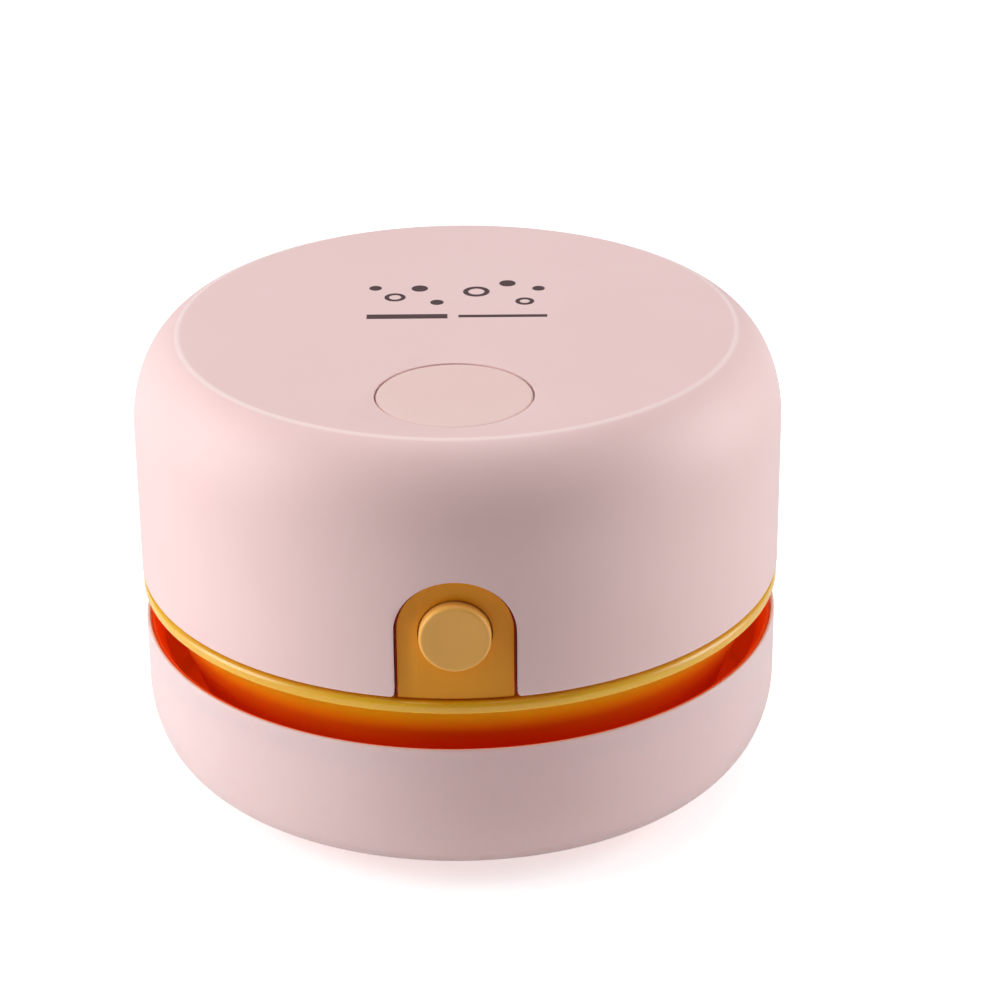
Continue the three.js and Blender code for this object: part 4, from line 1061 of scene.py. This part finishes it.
brush = {
    "inner": 25.2, "outer": 29.2, "spread": 79.0, "backingLow": 4.1, "backingHigh": 5.1,
    "rows": 5, "perRow": 40, "stagger": 0.4, "lean": 0.35,
    "bristleRadius": 0.2, "tipShare": 0.75, "rootDepth": 0.4, "sides": 5,
}


def makeBristle(length):
    clearSelection()
    root = brush["bristleRadius"] * mm
    bpy.ops.mesh.primitive_cone_add(
        vertices=brush["sides"], radius1=root, radius2=root * brush["tipShare"],
        depth=length * mm, location=(0, 0, length / 2 * mm), rotation=(math.pi, 0, 0),
    )
    bristle = bpy.context.object
    settleTransform(bristle)
    return bristle


def strandPlace(row, i, length):
    # where a strand stands, with a lean that changes in waves along the rows
    stagger = brush["stagger"]
    step = (brush["outer"] - brush["inner"]) / (brush["rows"] + stagger)
    radius = brush["inner"] + step * (row + 0.7)
    share = (i + 0.3 + stagger * (row % 2)) / brush["perRow"] - 0.5
    turn = math.radians(brush["spread"] * share)
    lean = brush["lean"] * (0.35 * (row - 2) + 0.6 * math.sin(2.4 * i + 1.7 * row)) / length
    side = brush["lean"] * 0.5 * math.cos(1.9 * i + row) / length
    tilt = Matrix((
        (1, 0, -lean, lean * length * mm), (0, 1, -side, side * length * mm), (0, 0, 1, 0), (0, 0, 0, 1),
    ))
    return Matrix.Rotation(turn, 4, "Z") @ Matrix.Translation((radius * mm, 0, 0)) @ tilt


def makeBrush(number):
    backing = brushSector(f"brush{number}", brush["inner"], brush["outer"], brush["spread"],
                          brush["backingLow"], brush["backingHigh"])
    length = brush["backingLow"] + brush["rootDepth"]
    bristle = makeBristle(length)
    strands = []
    for row in range(brush["rows"]):
        for i in range(brush["perRow"]):
            strand = bpy.data.objects.new("strand", bristle.data.copy())
            bpy.context.collection.objects.link(strand)
            strand.data.transform(strandPlace(row, i, length))
            strands.append(strand)
    bpy.data.objects.remove(bristle, do_unlink=True)
    pick(backing)
    for strand in strands:
        strand.select_set(True)
    bpy.ops.object.join()
    backing.rotation_euler = (0, 0, math.pi / 2 * number)
    return finishPiece(backing, bristleNylon, "dust_unit", [f"brush_{number}"], 30)


for number in range(1, 5):
    makeBrush(number)
print("brushes made")


# Inner pieces keep their CAD shape: each is copied, merged, given soft edges and its own finish

innerPieces = [
    ("chassis", "upper", chassisPlastic, 0.12),
    ("fan_cover", "upper", whitePlastic, 0.1),
    ("filter_frame", "upper", whitePlastic, 0.1),
    ("filter_pad", "upper", filterFleece, 0.25),
    ("motor_can", "upper", motorSteel, 0.25),
    ("motor_end_cap", "upper", blackPlastic, 0.1),
    ("switch_board", "upper", boardGreen, 0.06),
    ("switch_body", "upper", blackPlastic, 0.12),
    ("battery_left", "upper", cellWrap, 0.3),
    ("battery_right", "upper", cellWrap, 0.3),
    ("contact_plate_left", "upper", contactBrass, 0.06),
    ("contact_plate_right", "upper", contactBrass, 0.06),
    ("contact_spring_left", "upper", springSteel, 0),
    ("contact_spring_right", "upper", springSteel, 0),
    *[(f"chassis_screw_{i}", "upper", screwSteel, 0.12) for i in range(1, 5)],
    *[(f"base_screw_{i}", "dust_unit", screwSteel, 0.12) for i in range(1, 5)],
    ("rim_seal", "dust_unit", sealRubber, 0.2),
    ("latch_slider", "release", whitePlastic, 0.12),
    ("switch_plunger", "power", whitePlastic, 0.12),
    ("impeller", "fan", whitePlastic, 0.1),
    ("motor_shaft", "fan", motorSteel, 0.1),
]


def refineNode(node, body, material, edge):
    pick(frame["nodes"][node])
    bpy.ops.object.duplicate()
    piece = bpy.context.object
    piece.name = node + "Piece"
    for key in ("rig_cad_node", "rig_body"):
        if key in piece:
            del piece[key]
    piece.parent = None
    piece.matrix_world = Matrix.Identity(4)
    bpy.ops.object.mode_set(mode="EDIT")
    bpy.ops.mesh.select_all(action="SELECT")
    bpy.ops.mesh.remove_doubles(threshold=mergeWithin)
    bpy.ops.mesh.dissolve_limited(angle_limit=math.radians(1))
    bpy.ops.object.mode_set(mode="OBJECT")
    if edge:
        softenEdges(piece, edge, 2, 40)
    return finishPiece(piece, material, body, [node], 35)


def makeLatchSpring():
    piece = refineNode("latch_spring", "upper", springSteel, 0)
    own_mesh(piece)


for node, body, material, edge in innerPieces:
    refineNode(node, body, material, edge)
makeLatchSpring()
print("inner pieces finished")


# Print on the flat top: rings, dots and two bars in dark ink

printMarks = {
    "height": 60.0, "thickness": 0.03,
    "rings": [(-8.0, 9.0, 1.35, 0.8), (2.4, 10.8, 1.7, 1.05), (8.6, 7.4, 1.2, 0.65)],
    "dots": [(-10.6, 12.2, 0.8), (-4.9, 12.0, 1.05), (-2.6, 7.2, 0.85), (6.4, 13.6, 1.05), (10.4, 11.8, 0.8)],
    "bars": [(-11.4, 1.8, -1.2, 3.2), (0.2, 2.1, 11.4, 2.9)],
}


def makePrint():
    low = printMarks["height"]
    high = low + printMarks["thickness"]
    marks = []
    for x, y, outer, inner in printMarks["rings"]:
        mark = spinProfile("mark", [(inner, low), (outer, low), (outer, high), (inner, high)], 40)
        mark.location = (x * mm, y * mm, 0)
        marks.append(mark)
    for x, y, radius in printMarks["dots"]:
        marks.append(addRod(radius, x, y, low, high, 32))
    for left, front, right, back in printMarks["bars"]:
        marks.append(addBox((left, front, low), (right, back, high)))
    pick(marks[0])
    for mark in marks:
        mark.select_set(True)
    bpy.ops.object.join()
    piece = bpy.context.object
    piece.name = "topPrint"
    settleTransform(piece)
    piece.data.materials.clear()
    piece.data.materials.append(printInk)
    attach(piece, "upper")


makePrint()


# Stage: a white floor that keeps the shadow, and plain soft light from both sides

floorSheet = {"size": 1.3, "drop": 0.00002, "cameraGlow": 0.62}
lamps = [
    {"name": "leftBox", "place": (-0.6, -0.07, 0.22), "size": (0.36, 0.5), "power": 3.45},
    {"name": "rightBox", "place": (0.62, 0.05, 0.2), "size": (0.36, 0.5), "power": 2.7},
    {"name": "topBox", "place": (-0.02, 0.08, 0.78), "size": (0.5, 0.45), "power": 3.1},
]
lampTarget = (0, 0, 0.03)
roomLight = 0.1
white = (1, 1, 1, 1)


def makeFloorMaterial():
    # lit like any floor, so it takes the shadow, with a glow that only the camera sees
    material, tree, shader = newMaterial("floorWhite")
    setInputs(shader, {"Base Color": (0.9, 0.9, 0.9, 1), "Roughness": 0.8, "Emission Color": white})
    path = addNode(tree, "LightPath")
    glow = addNode(tree, "Math", {1: floorSheet["cameraGlow"]}, operation="MULTIPLY")
    connect(tree, (path, "Is Camera Ray", glow, 0), (glow, 0, shader, "Emission Strength"))
    return material


def makeFloor():
    clearSelection()
    bpy.ops.mesh.primitive_plane_add(size=floorSheet["size"], location=(0, 0, -floorSheet["drop"]))
    floor = bpy.context.object
    floor.name = "floor"
    floor.data.materials.append(makeFloorMaterial())


def addSoftbox(box):
    clearSelection()
    bpy.ops.object.light_add(type="AREA", location=box["place"])
    lamp = bpy.context.object
    lamp.name = box["name"]
    lamp.data.shape = "RECTANGLE"
    lamp.data.size, lamp.data.size_y = box["size"]
    lamp.data.energy = box["power"]
    direction = Vector(lampTarget) - lamp.location
    lamp.rotation_euler = direction.to_track_quat("-Z", "Y").to_euler()


def makeWorld():
    # the camera sees plain white, and the object gets a faint light from all sides
    world = bpy.data.worlds.new("studio")
    bpy.context.scene.world = world
    world.use_nodes = True
    tree = world.node_tree
    light = tree.nodes["Background"]
    setInputs(light, {"Color": white, "Strength": roomLight})
    backdrop = addNode(tree, "Background", {"Color": white, "Strength": 1})
    path = addNode(tree, "LightPath")
    mix = addNode(tree, "MixShader")
    connect(
        tree,
        (path, "Is Camera Ray", mix, "Fac"), (light, "Background", mix, 1),
        (backdrop, "Background", mix, 2), (mix, "Shader", tree.nodes["World Output"], "Surface"),
    )


makeFloor()
for box in lamps:
    addSoftbox(box)
makeWorld()


# Camera, fitted to the photo: angles in radians apart from the turn, distances in millimetres

photo = {
    "focalPixels": 3310.8, "pixels": 1000, "distance": 385.3, "height": 218.0,
    "tilt": 0.4425, "yaw": 0.0136, "roll": -0.0093, "turn": 1.05, "sensor": 36, "clipStart": 0.02,
}


def makeCamera():
    tilt = photo["tilt"]
    turn = math.radians(photo["turn"])
    about = Matrix.Rotation(turn, 3, "Z")
    place = about @ Vector((0, -photo["distance"], photo["height"])) * mm
    forward = about @ Vector((
        math.sin(photo["yaw"]) * math.cos(tilt), math.cos(photo["yaw"]) * math.cos(tilt), -math.sin(tilt),
    ))
    right = forward.cross(Vector((0, 0, 1))).normalized()
    up = right.cross(forward)
    cosine = math.cos(photo["roll"])
    sine = math.sin(photo["roll"])
    across = cosine * right + sine * up
    above = cosine * up - sine * right
    clearSelection()
    bpy.ops.object.camera_add()
    camera = bpy.context.object
    camera.name = "photoCamera"
    camera.matrix_world = Matrix((
        (across.x, above.x, -forward.x, place.x),
        (across.y, above.y, -forward.y, place.y),
        (across.z, above.z, -forward.z, place.z),
        (0, 0, 0, 1),
    ))
    camera.data.sensor_width = photo["sensor"]
    camera.data.lens = photo["sensor"] * photo["focalPixels"] / photo["pixels"]
    camera.data.clip_start = photo["clipStart"]
    bpy.context.scene.camera = camera


makeCamera()
bpy.context.scene.view_settings.view_transform = "Standard"
print("stage made")
